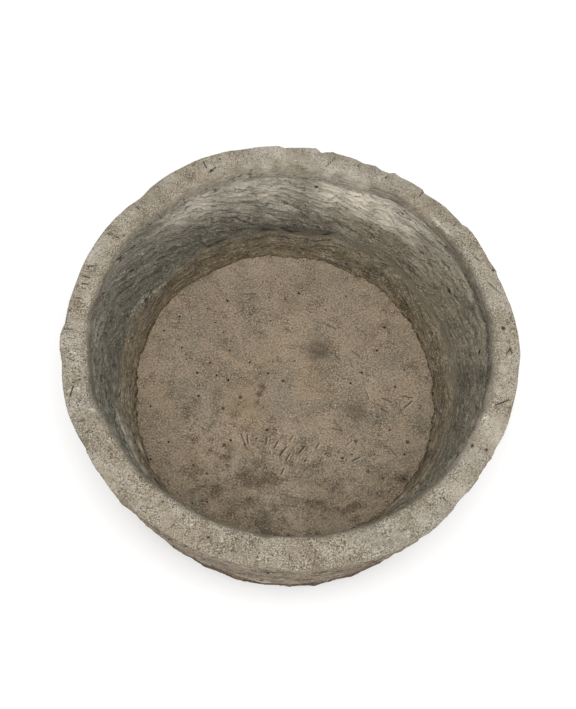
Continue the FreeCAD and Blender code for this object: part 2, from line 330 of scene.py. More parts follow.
# Marks inside the wall, by turn and height in mm, in the same forms
WALL_PITS = [
    (19.5, 168, 7, 4), (32.5, 152, 6, 3.5), (7.5, 183, 6, 2), (88, 188, 5, 2.5), (49, 114, 6, 3),
    (64, 151, 4, 2), (26.5, 180, 4, 1.5), (21, 192, 4, 1.5), (37, 184, 4, 1.5), (110, 171, 3, 2),
    (114, 191, 3, 2),
]
WALL_CRACKS = [
    ((95.5, 148), (105, 174)), ((98, 116), (103.5, 132)), ((96, 104), (97.5, 113)),
    ((108, 110), (115.5, 134)), ((107, 168), (108.5, 176)), ((113.5, 140), (119, 158)),
    ((77, 118), (81, 132)), ((88, 118), (92, 135)), ((92, 140), (98, 152)), ((127, 104), (129, 114)),
    ((132, 116), (137, 128)), ((140, 96), (146.5, 110)), ((157.5, 140), (161, 154)),
    ((159, 158), (161.5, 167)), ((163.8, 158), (165, 165)), ((155, 97), (160, 103)),
    ((160, 103), (167, 113)), ((167, 113), (170, 111)), ((170, 111), (173.5, 92)), ((145, 160), (151, 170)),
    ((147, 178), (153, 186)), ((14, 180), (19, 170)), ((27.5, 142), (29.5, 134)), ((36, 138), (37.5, 130)),
    ((41.5, 112), (45, 100)), ((47, 117), (50, 113)), ((48, 125), (53, 112)), ((55, 130), (58, 133)),
    ((38, 79), (45, 82)), ((45, 82), (51, 87)), ((44, 65), (49, 67)), ((56, 90), (63, 96)),
    ((74, 96), (77, 102)), ((35, 184), (39, 182)), ((41, 161), (46, 158)), ((44, 173), (49, 176)),
    ((53, 190), (58, 182)), ((60, 64), (66, 67)), ((119, 63), (124, 67)), ((70, 118), (76, 124)),
    ((60, 118), (66, 124)),
]
# Pale patches, partly painted light on the back wall where it faces the lamp
WALL_PALE_CLOUDS = [
    (82, 184, 56, 0.78), (74, 188, 62, 0.82), (65, 185, 58, 0.64), (56, 192, 50, 0.45), (54, 177, 44, 0.4),
    (64, 173, 52, 0.58), (74, 171, 60, 0.6), (84, 169, 52, 0.45), (75, 158, 44, 0.4), (85, 150, 50, 0.35),
    (98, 150, 60, 0.4), (104, 176, 54, 0.5), (98, 166, 50, 0.3), (112, 186, 60, 0.45), (112, 150, 50, 0.35),
    (102, 130, 50, 0.35), (126, 190, 60, 0.5), (134, 182, 44, 0.5), (138, 194, 40, 0.4),
    (120, 165, 50, 0.3), (142, 186, 36, 0.3), (76, 106, 40, 0.3), (74, 124, 40, 0.25), (52, 170, 36, 0.4),
    (211, 59, 30, 0.7), (182, 102, 20, 0.2), (187, 102, 22, 0.3), (192, 102, 22, 0.4), (197, 102, 22, 0.55),
    (202, 103, 23, 0.7), (207, 103, 24, 0.95), (212, 103, 26, 1.05), (217, 102, 25, 1.05),
    (222, 101, 24, 0.95), (227, 99, 22, 0.8), (232, 98, 18, 0.5), (320, 60, 40, 0.6), (322, 85, 40, 0.2),
    (204, 64, 40, 0.2), (14, 140, 44, 0.2), (14, 104, 40, 0.2), (318, 90, 40, 0.2),
]
# Painted shade below the rim's inner edge and under the ledge, and darker patches of the wall
WALL_DARK_CLOUDS = [
    (92, 198, 36, 0.5), (2, 138, 50, 1.0), (335, 143, 50, 0.4), (345, 192, 40, 0.3), (352, 160, 40, 0.3),
    (5, 196, 40, 0.2), (15, 196, 40, 0.25), (162, 160, 56, 0.7), (174, 162, 44, 0.45), (155, 178, 44, 0.35),
    (170, 178, 44, 0.3), (182, 178, 40, 0.25), (62, 60, 40, 0.75), (52, 60, 40, 0.8), (73, 60, 40, 0.75),
    (42, 62, 40, 0.75), (60, 74, 36, 0.7), (36, 74, 36, 0.6), (48, 74, 36, 0.6), (340, 60, 44, 0.75),
    (356, 197, 40, 0.6), (6, 197, 36, 0.6), (20, 191, 36, 0.8), (81, 192, 36, 0.8), (358, 190, 40, 1.0),
    (12, 60, 46, 0.6), (0, 60, 46, 0.6), (22, 60, 40, 0.5), (32, 60, 36, 0.5), (75, 84, 40, 0.6),
    (87, 84, 40, 0.6), (97, 84, 40, 0.6), (108, 84, 40, 0.6), (122, 84, 40, 0.7), (133, 84, 40, 0.7),
    (145, 84, 40, 0.7), (157, 84, 40, 0.6), (168, 84, 40, 0.4), (35, 118, 50, 0.3), (94, 106, 36, 0.5),
    (105, 106, 36, 0.6), (115, 106, 36, 0.4), (135, 104, 30, 0.4), (146, 108, 40, 0.4), (204, 124, 36, 0.4),
    (46, 165, 40, 0.3), (45, 190, 40, 0.3), (22, 160, 30, 0.2), (338, 190, 44, 0.6), (350, 188, 44, 0.6),
    (0, 186, 44, 0.8), (14, 190, 36, 0.5), (21, 190, 30, 0.5), (330, 134, 40, 0.4), (158, 150, 44, 0.4),
    (34, 58, 30, 0.4), (350, 57, 40, 0.4),
]

# Marks on the floor, by the photograph's pixels: holes (x, y), and clouds (x, y, width in mm, strength)
PINHOLES = [
    (164, 330), (182, 347), (210, 363), (197, 373), (217, 375), (228, 380), (231, 341), (230, 350),
    (199, 396), (250, 362), (231, 440), (257, 438), (150, 406), (193, 465), (151, 459), (168, 442),
    (239, 404), (224, 332), (271, 321), (268, 373), (384, 327), (244, 444), (395, 387), (405, 369),
    (351, 383), (326, 309), (294, 361), (267, 430), (326, 454), (352, 454), (343, 458), (377, 350),
    (207, 502), (362, 372), (390, 430), (405, 454), (208, 308), (299, 293), (285, 299), (227, 300),
    (179, 316), (215, 322), (259, 321), (346, 296), (305, 460), (192, 503), (207, 473),
]
BROWN_PITS = [
    (223, 408), (224, 445), (283, 381), (356, 441), (408, 442), (404, 479), (383, 478), (240, 397),
]
SCRATCHES = [
    ((327, 324), (336, 329)), ((356, 327), (367, 335)), ((352, 351), (360, 356)), ((335, 354), (342, 361)),
    ((350, 360), (354, 368)), ((366, 391), (369, 399)), ((382, 398), (392, 402)), ((377, 404), (388, 408)),
    ((403, 396), (413, 398)), ((404, 408), (412, 401)), ((381, 408), (389, 413)), ((347, 415), (358, 421)),
    ((334, 420), (343, 431)), ((332, 428), (342, 431)), ((247, 434), (248, 444)), ((290, 440), (293, 436)),
    ((274, 448), (278, 441)), ((280, 455), (286, 447)), ((299, 453), (304, 447)), ((346, 446), (352, 440)),
    ((352, 461), (360, 457)), ((289, 384), (296, 387)), ((267, 437), (266, 444)), ((241, 434), (246, 446)),
    ((245, 294), (256, 294)), ((290, 453), (286, 460)), ((284, 468), (281, 474)), ((319, 443), (316, 448)),
    ((361, 443), (365, 449)), ((391, 449), (398, 457)), ((226, 299), (230, 302)),
]
DARK_CLOUDS = [
    (318, 350, 43, 0.6), (357, 412, 38, 0.5), (330, 485, 62, 0.25), (292, 304, 46, 0.35),
    (250, 475, 46, 0.2), (245, 517, 50, 0.2), (330, 520, 50, 0.2), (215, 480, 40, 0.25),
    (300, 470, 36, 0.4), (322, 503, 16, 0.6), (404, 479, 20, 0.6), (190, 455, 36, 0.3),
    (380, 478, 22, 0.35), (230, 505, 30, 0.35), (265, 522, 30, 0.35), (262, 387, 13, 0.75),
    (259, 394, 12, 0.7), (257, 402, 9, 0.6), (263, 407, 9, 0.35), (217, 393, 24, 0.4), (213, 403, 20, 0.35),
    (197, 405, 22, 0.35), (228, 385, 16, 0.3), (222, 440, 20, 0.3), (230, 448, 22, 0.4),
    (195, 440, 22, 0.25), (256, 463, 18, 0.55), (247, 474, 22, 0.5), (310, 348, 22, 0.35),
    (236, 497, 24, 0.3), (302, 479, 40, 0.35), (394, 396, 40, 0.25), (345, 426, 40, 0.25),
    (188, 448, 40, 0.25), (215, 466, 30, 0.25),
]
YELLOW_CLOUDS = [
    (245, 405, 62, 0.8), (305, 385, 58, 0.8), (262, 350, 58, 0.5), (200, 470, 48, 0.4), (160, 400, 53, 0.4),
]
GREY_CLOUDS = [
    (285, 402, 62, 0.8), (250, 345, 53, 0.5), (210, 400, 58, 0.5), (380, 370, 67, 0.4), (340, 300, 72, 0.3),
]
# Painted light that lifts the floor's shade, mostly along the wall's foot
LIT_FLOOR_CLOUDS = [
    (294, 262, 56, 0.9), (258, 265, 46, 0.8), (230, 274, 44, 0.7), (205, 287, 36, 0.6), (326, 267, 46, 0.6),
    (370, 292, 36, 0.4), (288, 503, 40, 0.7), (357, 371, 44, 0.5), (187, 318, 40, 0.4), (185, 350, 40, 0.4),
]
PECKED_CLOUDS = [(300, 462, 90, 1.0), (265, 455, 60, 0.6), (345, 470, 60, 0.5), (395, 402, 40, 0.4)]
BLOTCHED_CLOUDS = [
    (285, 505, 150, 1.0), (220, 475, 110, 0.8), (350, 500, 110, 0.7), (225, 425, 100, 0.6),
    (195, 400, 80, 0.4),
]


def smooth_step(low, high, value):
    share = np.clip((value - low) / (high - low), 0, 1)
    return share * share * (3 - 2 * share)


def around(pairs, turn):
    """Value at each turn on a smooth closed run through (turn, value) pairs."""
    turns = np.array([pair[0] for pair in pairs], float)
    values = np.array([pair[1] for pair in pairs], float)
    at = np.mod(turn - turns[0], 360) + turns[0]
    ends = np.append(turns, turns[0] + 360)
    index = np.clip(np.searchsorted(ends, at, side="right") - 1, 0, len(turns) - 1)
    share = smooth_step(0, 1, (at - ends[index]) / (ends[index + 1] - ends[index]))
    return values[index] * (1 - share) + np.roll(values, -1)[index] * share


def mottle(points, size, octaves=3, seed=0.0):
    """Smooth noise from about -1 to 1 at each point, with patches about one size across."""
    spots = (points / size + seed).reshape(-1, 3).tolist()
    return np.array([noise.fractal(spot, 1.0, 2.0, octaves) for spot in spots]).reshape(points.shape[:-1])


def flakes(points, size, seed=0.0):
    """Height from about -1 to 1 of plates that are tilted each its own way."""
    heights = []
    for spot in (points / size + seed).reshape(-1, 3).tolist():
        centre = noise.voronoi(spot)[1][0]
        tilt = noise.cell_vector(centre) * 2 - Vector((1, 1, 1))
        heights.append((Vector(spot) - centre).dot(tilt) + tilt.z * 0.4)
    return np.array(heights).reshape(points.shape[:-1])


def shingled(course):
    """Height from 0 to 1 of split beds, which stand out most at their lower edges and lean back upwards."""
    within = course - np.floor(course)
    return smooth_step(0, 0.3, within) * (1 - within)


# Camera and sight lines

def camera_axes():
    rise = math.radians(CAMERA_ELEVATION)
    roll = math.radians(CAMERA_ROLL)
    back = Vector((0, -math.cos(rise), math.sin(rise)))
    level_up = Vector((0, math.sin(rise), math.cos(rise)))
    right = Vector((math.cos(roll), 0, 0)) + level_up * math.sin(roll)
    up = Vector((-math.sin(roll), 0, 0)) + level_up * math.cos(roll)
    return right, up, back


RIGHT, UP, BACK = camera_axes()
CAMERA_PLACE = CAMERA_TARGET + BACK * CAMERA_DISTANCE


def make_camera():
    data = bpy.data.cameras.new("camera")
    data.lens = LENS
    data.sensor_width = SENSOR
    camera = bpy.data.objects.new("camera", data)
    camera.matrix_world = Matrix.Translation(CAMERA_PLACE) @ Matrix((RIGHT, UP, BACK)).transposed().to_4x4()
    bpy.context.scene.collection.objects.link(camera)
    bpy.context.scene.camera = camera


def on_floor(pixel):
    """Point of the floor that the photograph shows at a pixel."""
    focal = LENS / SENSOR * PHOTO_HEIGHT
    across = (pixel[0] - PHOTO_WIDTH / 2) / focal
    down = (pixel[1] - PHOTO_HEIGHT / 2) / focal
    way = RIGHT * across - UP * down - BACK
    return CAMERA_PLACE + way * ((FLOOR_TOP - CAMERA_PLACE.z) / way.z)


def near_spot(points, spot, width, sharpness=2):
    """Nearness of a spot, from 0 to 1, fading out over a width."""
    apart = np.linalg.norm(points - np.array(spot), axis=-1)
    return np.exp(-(apart / (width / 2)) ** sharpness)


def near_line(points, start, end, width):
    """Nearness of a straight line between two spots, from 0 to 1, fading out over a width."""
    start = np.array(start)
    along = np.array(end) - start
    share = np.clip((points - start) @ along / (along @ along), 0, 1)
    apart = np.linalg.norm(points - start - share[..., None] * along, axis=-1)
    return np.exp(-(apart / (width / 2)) ** 2)


# Forms of the stones

class HewnFace:
    """Facets of a face of a CAD node: how far each place lies outside the face's run around it."""

    def __init__(self, node, low, high, facet, from_inside):
        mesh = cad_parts[node].data
        corners = [corner.co for corner in mesh.vertices]
        tree = BVHTree.FromPolygons(corners, [face.vertices for face in mesh.polygons])
        self.low = low
        self.high = high
        rows = [[self.reach(tree, turn, height, from_inside) for turn in FACE_TURNS]
                for height in np.linspace(low, high, FACE_LEVELS)]
        rows = np.array(rows)
        spread = round(FACE_RUN * facet / FACE_STEP)
        mean = np.mean([np.roll(rows, shift, 1) for shift in range(-spread, spread + 1)], axis=0)
        self.facets = rows - mean

    def reach(self, tree, turn, height, from_inside):
        """Radius at which a level sight line at a turn and a height meets the face."""
        way = Vector((math.cos(math.radians(turn)), math.sin(math.radians(turn)), 0))
        start = Vector((0, 0, height)) if from_inside else way * 2 * RIM_RADIUS + Vector((0, 0, height))
        hit = tree.ray_cast(start, way if from_inside else -way)[0]
        return math.hypot(hit.x, hit.y)

    def at(self, turn, height):
        turn, height = np.broadcast_arrays(turn, height)
        row = np.clip((height - self.low) / (self.high - self.low), 0, 1) * (FACE_LEVELS - 1)
        column = np.mod(turn, 360) / FACE_STEP
        first_row = np.clip(row.astype(int), 0, FACE_LEVELS - 2)
        first_column = column.astype(int) % len(FACE_TURNS)
        next_column = (first_column + 1) % len(FACE_TURNS)
        up = row - first_row
        along = column - np.floor(column)

        def on_row(number):
            return self.facets[number, first_column] * (1 - along) + self.facets[number, next_column] * along

        return on_row(first_row) * (1 - up) + on_row(first_row + 1) * up


WALL_INSIDE = HewnFace("wall_ring", RING_FOOT + MM, GROOVE_FOOT, INSIDE_FACET, True)
WALL_OUTSIDE = HewnFace("wall_ring", RING_FOOT + MM, HEIGHT - CUT_REACH, OUTSIDE_FACET, False)
SLAB_SIDE = HewnFace("base_slab", SLAB_ARRIS + MM, FLOOR_TOP - MM, OUTSIDE_FACET, False)


def rim_edge(turn):
    """How far the rim's hewn outer edge lies outside a circle."""
    turns, amounts = zip(*RIM_EDGE_MM)
    return np.interp(turn, turns, amounts, period=360) * MM


def rim_outline(turn):
    """The rim's edge without the single cuts of the chisel."""
    return np.mean([rim_edge(turn + shift) for shift in CUTS_EVENED], axis=0)


def outside_radius(turn, height, face=WALL_OUTSIDE):
    """Outside of the wall or the slab: a hewn taper with a slight belly, and the cuts near the rim."""
    share = height / HEIGHT
    taper = FOOT_RADIUS + (RIM_RADIUS - FOOT_RADIUS) * share + 4 * BELLY * share * (1 - share)
    outline = rim_outline(turn)
    near_rim = np.exp((height - HEIGHT) / CUT_REACH)
    cuts = (rim_edge(turn) - outline) * near_rim
    facets = face.at(turn, height) * (1 - near_rim)
    return taper + outline * share + around(FOOT_OUTLINE_MM, turn) * MM * (1 - share) + cuts + facets


def under_rim(height):
    """Nearness of the groove that runs under the rim's inner edge, from 0 to 1."""
    return np.exp(-((HEIGHT - GROOVE_DEPTH - height) / GROOVE_HALF) ** 2)


def ledge_height(turn):
    return LEDGE_HEIGHT + around(LEDGE_LIFT_MM, turn) * MM


def inside_radius(turn, height):
    """Inside of the wall: a cove at the foot, a ledge, and the steep upper wall, undercut in places."""
    rim = RIM_RADIUS - RIM_WIDTH + around(RIM_INSIDE_MM, turn) * MM
    ledge = ledge_height(turn)
    upper = LEDGE_RADIUS + (rim - LEDGE_RADIUS) * (height - ledge) / (HEIGHT - ledge)
    upper = upper + around(UNDERCUT_MM, turn) * MM * under_rim(height)
    low_share = np.clip((height - RING_FOOT) / (ledge - RING_FOOT), 0, 1)
    step = around(LEDGE_STEP_MM, turn) * MM
    foot = FLOOR_RADIUS + around(FLOOR_EDGE_MM, turn) * MM
    cove = foot + (LEDGE_RADIUS - step - foot) * low_share
    upper = upper - step * (1 - smooth_step(ledge, ledge + LEDGE_ROUND, height))
    trued = TRUED_SHARE * smooth_step(HEIGHT - TRUED_FROM, HEIGHT - TRUED_TO, height)
    return np.where(height < ledge, cove, upper) + WALL_INSIDE.at(turn, height) * (1 - trued)


def ring_points(turn, radius, height):
    angle = np.radians(turn)
    return np.stack(np.broadcast_arrays(radius * np.cos(angle), radius * np.sin(angle), height), -1)


def ring_table(turn, rings):
    """Rings of (radius, height, and shares) as one table for each of these, by ring and turn."""
    return np.array([np.broadcast_arrays(turn, *ring)[1:] for ring in rings]).transpose(1, 0, 2)


def beds_at(points, dip=0.0):
    """Coordinates in which the stone's beds, dipping by a share, are level and as thick as they are wide."""
    up = (points[..., 2] + dip * (points[..., :2] @ np.array(BED_DIP))) * BED_SQUEEZE
    return np.stack([points[..., 0], points[..., 1], up], -1)


def courses_at(beds):
    """Number of the bed that each place lies in, counted upwards, where beds swell, pinch out and stray."""
    stray = mottle(beds * np.array(BED_STRAY_STRETCH), BED_STRAY_SIZE, 3, 7.3)
    return beds[..., 2] / (BED_SQUEEZE * BED_THICKNESS) + BED_WANDER * stray


def grid_normals(points):
    """Outward directions on a grid of points that is closed both ways."""
    down = np.roll(points, -1, 0) - np.roll(points, 1, 0)
    beside = np.roll(points, -1, 1) - np.roll(points, 1, 1)
    normals = np.cross(down, beside)
    return normals / np.linalg.norm(normals, axis=-1, keepdims=True)


def ring_faces(rows, columns, closed):
    """Corner numbers of the squares of a grid that goes round, and round the other way too if closed."""
    row, column = np.meshgrid(np.arange(rows if closed else rows - 1), np.arange(columns), indexing="ij")
    below = (row + 1) % rows * columns
    here = row * columns
    beside = (column + 1) % columns
    return np.stack([here + column, below + column, below + beside, here + beside], -1).reshape(-1, 4)


def ring_uv(rows, columns, width=1.0, height=1.0):
    """Bake map of a ring grid: its quarters, one above the other, from the map's lower left corner."""
    row, column = np.meshgrid(np.arange(rows), np.arange(columns), indexing="ij")
    quarter = column * 4 // columns
    across = (column * 4 % columns) / columns
    corners = []
    for down, beside in ((0, 0), (1, 0), (1, 1), (0, 1)):
        u = BAKE_GAP + (1 - 2 * BAKE_GAP) * (across + beside * 4 / columns)
        v = (quarter + 2 * BAKE_GAP + (1 - 4 * BAKE_GAP) * (row + down) / rows) / 4
        corners.append(np.stack([u * width, v * height], -1))
    return np.stack(corners, -2).reshape(-1, 2)


def add_piece(name, points, faces, uv, masks, material, node):
    """A stone as a smooth mesh with its masks, which stands for a CAD node."""
    mesh = bpy.data.meshes.new(name)
    mesh.from_pydata(points.reshape(-1, 3).tolist(), [], faces)
    mesh.shade_smooth()
    mesh.uv_layers.new(name="OFBake").data.foreach_set("uv", uv.astype(np.float32).ravel())
    level_beds = beds_at(points)
    for key, values in ({"beds": level_beds, "course": courses_at(level_beds)} | masks).items():
        kind, field = ("FLOAT_VECTOR", "vector") if values.shape == points.shape else ("FLOAT", "value")
        layer = mesh.attributes.new(key, kind, "POINT")
        layer.data.foreach_set(field, values.astype(np.float32).ravel())
    piece = bpy.data.objects.new(name, mesh)
    bpy.context.scene.collection.objects.link(piece)
    mesh.materials.append(material)
    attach(piece, "root")
    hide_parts(node)


# Wall

class WallRows:
    """Section of the wall at each turn: up the inside, over the rim, down the outside and underneath."""

    def __init__(self):
        self.turn = np.arange(COLUMNS) * 360 / COLUMNS
        self.rows = []
        self.bevel_width = around(BEVEL_MM, self.turn) * MM
        self.bevel_drop = BEVEL_STEEPNESS * self.bevel_width
        self.cuts = np.clip(rim_outline(self.turn) + MM - rim_edge(self.turn), 0, None)
        self.rim_outside = outside_radius(self.turn, HEIGHT) - RIM_EDGE
        self.rim_drop = CUT_DROP * self.cuts
        self.add_inside()
        self.add_rim()
        self.add_outside()
        table = ring_table(self.turn, self.rows)
        self.radius, self.height, self.rim, self.inside, self.outside, self.bevel = table
        self.points = ring_points(self.turn, self.radius, self.height)

    def add(self, radius, height, rim=0, inside=0, outside=0, bevel=0):
        self.rows.append((radius, height, rim, inside, outside, bevel))

    def add_inside(self):
        top = HEIGHT - self.bevel_drop
        for share in np.linspace(0, 1, INSIDE_ROWS):
            height = RING_FOOT + (top - RING_FOOT) * share
            bevel = smooth_step(top - BEVEL_BELOW, top, height)
            self.add(inside_radius(self.turn, height), height, inside=1, bevel=bevel)
        wall_top = inside_radius(self.turn, top)
        self.rim_inside = wall_top + self.bevel_width
        for share in np.linspace(0, 1, BEVEL_ROWS + 1)[1:]:
            lean = share * math.pi / 2
            radius = wall_top + self.bevel_width * (1 - math.cos(lean))
            height = top + self.bevel_drop * math.sin(lean)
            self.add(radius, height, rim=share, inside=1 - share, bevel=1)

    def add_rim(self):
        for share in np.linspace(0, 1, RIM_ROWS + 1)[1:]:
            radius = self.rim_inside + (self.rim_outside - self.rim_inside) * share
            height = HEIGHT - self.rim_drop * smooth_step(CUT_FROM, 1, share)
            self.add(radius, height, rim=1, bevel=1 - smooth_step(0, BEVEL_BESIDE, radius - self.rim_inside))

    def add_outside(self):
        top = HEIGHT - self.rim_drop - RIM_EDGE
        for share in np.linspace(0, 1, OUTSIDE_ROWS) ** OUTSIDE_CROWDING:
            height = top + (RING_FOOT - top) * share
            rim = 1 - smooth_step(0, RIM_LOOK_BELOW, top - height)
            self.add(outside_radius(self.turn, height), height, rim=rim, outside=1 - rim)
        foot_outside = self.rows[-1][0]
        for share in np.linspace(0, 1, UNDER_ROWS + 2)[1:-1]:
            self.add(foot_outside + (self.rows[0][0] - foot_outside) * share, RING_FOOT)


def on_rim(turn, radius):
    """Point on the rim at a turn and a radius in mm."""
    return ring_points(turn, radius * MM, HEIGHT)


def on_wall(turn, height):
    """Point inside the wall at a turn and a height in mm."""
    return ring_points(turn, inside_radius(np.array(turn), np.array(height * MM)), height * MM)


def wall_marks(points):
    """Relief in mm of the marks that the photograph shows, and masks of their colours."""
    relief = np.zeros(points.shape[:-1])
    masks = {key: np.zeros_like(relief) for key in ("hollow_shade", "pale", "stain", "pale_and_lit", "shade_and_darker")}

    def mark(key, near, strength):
        masks[key] = np.maximum(masks[key], near * strength)

    # Pits and lines are carved, and painted dark as their shade
    for place, pits, darkness in ((on_rim, RIM_PITS, RIM_PIT_SHADE), (on_wall, WALL_PITS, WALL_PIT_SHADE)):
        for turn, level, width, depth in pits:
            near = near_spot(points, place(turn, level), PIT_SPREAD * width * MM, CRISP)
            relief -= depth * near
            mark("hollow_shade", near, darkness)
    for place, lines, form in ((on_rim, RIM_LINES, RIM_LINE_FORM), (on_wall, WALL_CRACKS, CRACK_FORM)):
        width, depth, darkness = form
        for start, end in lines:
            near = near_line(points, place(*start), place(*end), width * MM)
            relief -= depth * near
            mark("hollow_shade", near, darkness)
    # A painted highlight on the lip over each crack
    for crack in WALL_CRACKS:
        start, end = [on_wall(turn, height + CRACK_LIP_MM) for turn, height in crack]
        mark("pale_and_lit", near_line(points, start, end, CRACK_LIP_MM * MM), CRACK_LIP_HIGHLIGHT)
    for turn, radius, width in RIM_CHIPS:
        mark("pale", near_spot(points, on_rim(turn, radius), width * MM, CRISP), 1.0)
    for start, end in RIM_SCRAPES:
        mark("pale", near_line(points, on_rim(*start), on_rim(*end), SCRAPE_WIDTH), 1.0)
    for key, place, clouds, share in (
        ("stain", on_rim, RIM_STAINS, 1.0),
        ("pale", on_rim, RIM_PALE_CLOUDS, RIM_PALE_SHARE),
        ("pale_and_lit", on_wall, WALL_PALE_CLOUDS, 1.0),
        ("shade_and_darker", on_wall, WALL_DARK_CLOUDS, 1.0),
    ):
        for turn, level, width, strength in clouds:
            mark(key, near_spot(points, place(turn, level), width * MM), share * strength)
    return relief, masks


def ledge_crevice(wall, ledge):
    """Nearness of the open crevice over the ledge, from 0 to 1."""
    wander = mottle(wall.points, 0.02, 3, 2.9) * CREVICE_WANDER
    apart = wall.height - ledge - CREVICE_ABOVE - wander
    broken = smooth_step(-0.5, 0.2, mottle(wall.points, 0.05, 2, 6.1))
    return wall.inside * np.exp(-(apart / CREVICE_HALF) ** 2) * around(LEDGE_CREVICE, wall.turn) * broken


def wall_roughness(wall, beds, course, crevice):
    """Relief in mm of the torn beds inside, the hewn outside and the pecked rim, with none at the foot."""
    seated = smooth_step(RING_FOOT + SEATED_FROM, RING_FOOT + SEATED_TO, wall.height)
    swell = mottle(wall.points, 0.07)
    plates = flakes(beds, 0.035)
    hewn = flakes(wall.points, 0.022, 5.5)
    split = shingled(course) * smooth_step(-0.5, 0.2, mottle(beds, 0.06, 2, 4.3))
    rough = mottle(beds, 0.012, 3, 3.1)
    peck = mottle(wall.points, 0.005, 2, 5.7)
    torn = 0.4 * swell + 0.8 * plates + 2.4 * split + 0.6 * rough - 0.8 - CREVICE_DEPTH_MM * crevice
    outer = 0.4 * swell + 0.6 * plates + 2.0 * split + 1.2 * hewn + 0.6 * rough - 0.7
    pecked = 0.9 * swell + 0.3 * peck - 0.4
    return wall.inside * seated * torn + wall.outside * seated * outer + wall.rim * pecked


def wall_looks(wall, beds, ledge):
    """Masks of where each look of the wall shows, by turn and by height or distance from the rim's edge."""
    inside = wall.inside
    turn = wall.turn
    ragged = mottle(beds, 0.05, 4, 9.2)
    worn_in = wall.rim * (1 - wall.rim) * 3 * mottle(wall.points, 0.02, 4, 3.7)
    from_edge = wall.rim_outside - wall.radius
    over_foot = wall.height - RING_FOOT
    over_ledge = wall.height - ledge
    upper_share = over_ledge / (HEIGHT - ledge)
    grooved = around(UNDERCUT_MM, turn) / DEEPEST_UNDERCUT_MM
    return {
        "rim": np.clip(wall.rim + worn_in, 0, 1),
        "inside": inside,
        "stipple": WALL_STIPPLE + wall.rim * (around(STIPPLED, turn) - WALL_STIPPLE),
        "streaked": inside * around(STREAKED, turn),
        "split_shading": 1 + inside * (around(SPLIT_SHADING, turn) - 1),
        "radial": ring_points(turn, RIM_RADIUS, STROKE_RADIUS * wall.radius),
        "hatch": wall.rim * around(HATCHED, turn) * smooth_step(32 * MM, 12 * MM, from_edge),
        # Painted highlight along the wall's outer foot at the front
        "lit_lip": wall.outside * around(LIT_FOOT_LIP, turn) * smooth_step(24 * MM, 10 * MM, over_foot),
        "soil": inside * (1 - smooth_step(-12 * MM, 12 * MM, over_ledge)),
        "foot": 1 - smooth_step(RING_FOOT, ledge, wall.height + ragged * 6 * MM),
        "cool": inside * around(COOLNESS, turn),
        "warm": inside * around(WARMTH, turn),
        # Paler upper wall, partly painted light where the back wall faces the lamp
        "pale_upper": inside * around(PALE_UPPER, turn) * smooth_step(0.3, 0.85, upper_share + 0.25 * ragged),
        # Darker towards the ledge
        "darker_down": inside * around(DARKER_DOWN, turn) * smooth_step(0.6, 0.0, upper_share + 0.2 * ragged),
        # Painted shade in the groove under the rim's inner edge
        "groove_shade": inside * grooved * under_rim(wall.height + ragged * 4 * MM) ** 2,
        "bevel": wall.bevel * around(SHADED_BEVEL, turn),
        # Painted shade on the faces of the chisel's cuts in the rim's edge
        "cut_shade": wall.rim * np.clip(wall.cuts / (4 * MM), 0, 1) * smooth_step(14 * MM, 2 * MM, from_edge),
    }


def make_wall(material):
    wall = WallRows()
    ledge = ledge_height(wall.turn)
    beds = beds_at(wall.points, wall.inside * smooth_step(-4 * MM, 8 * MM, wall.height - ledge))
    course = courses_at(beds)
    crevice = ledge_crevice(wall, ledge)
    relief, masks = wall_marks(wall.points)
    relief += wall_roughness(wall, beds, course, crevice)
    moved = wall.points + grid_normals(wall.points) * (relief * MM)[..., None]
    # The crevice over the ledge is painted dark as its shade
    masks["hollow_shade"] = np.maximum(masks["hollow_shade"], CREVICE_SHADE * crevice)
    masks |= {"beds": beds, "course": course} | wall_looks(wall, beds, ledge)
    rows = len(moved)
    faces = ring_faces(rows, COLUMNS, True).tolist()
    add_piece("wall", moved, faces, ring_uv(rows, COLUMNS), masks, material, "wall_ring")


# Slab

def disc_grid(cells):
    """Corners of a square grid that is bent into a disc of radius 1, where its squares stay nearly even."""
    line = np.linspace(-1, 1, cells + 1)
    x, y = np.meshgrid(line, line, indexing="ij")
    wide = np.abs(x) > np.abs(y)
    radius = np.where(wide, x, y)
    lesser = np.where(wide, y, x)
    angle = math.pi / 4 * np.divide(lesser, radius, out=np.zeros_like(radius), where=radius != 0)
    greater = radius * np.cos(angle)
    smaller = radius * np.sin(angle)
    return np.where(wide, greater, smaller), np.where(wide, smaller, greater)


def floor_disc(radius):
    """Points and squares of a disc at the floor's level, and the numbers of the points on its border."""
    x, y = disc_grid(FLOOR_CELLS)
    points = np.stack([x * radius, y * radius, np.full_like(x, FLOOR_TOP)], -1).reshape(-1, 3)
    numbers = np.arange(len(points)).reshape(x.shape)
    corners = [numbers[:-1, :-1], numbers[1:, :-1], numbers[1:, 1:], numbers[:-1, 1:]]
    border = [numbers[:-1, 0], numbers[-1, :-1], numbers[:0:-1, -1], numbers[0, :0:-1]]
    return points, np.stack(corners, -1).reshape(-1, 4), np.concatenate(border)


def floor_holes(dice):
    """Holes in the floor, as (mask, pixel, width in mm, depth in mm, strength)."""
    holes = []
    for pixel in PINHOLES:
        holes.append(("hollow_shade", pixel, dice.uniform(*PINHOLE_WIDTHS_MM), PINHOLE_DEPTH_MM, PINHOLE_SHADE))
    for pixel in BROWN_PITS:
        width = dice.uniform(*BROWN_WIDTHS_MM)
        holes.append(("brown", pixel, width, BROWN_DEPTH_MM, dice.uniform(*UNEVEN_STRENGTH)))
    return holes


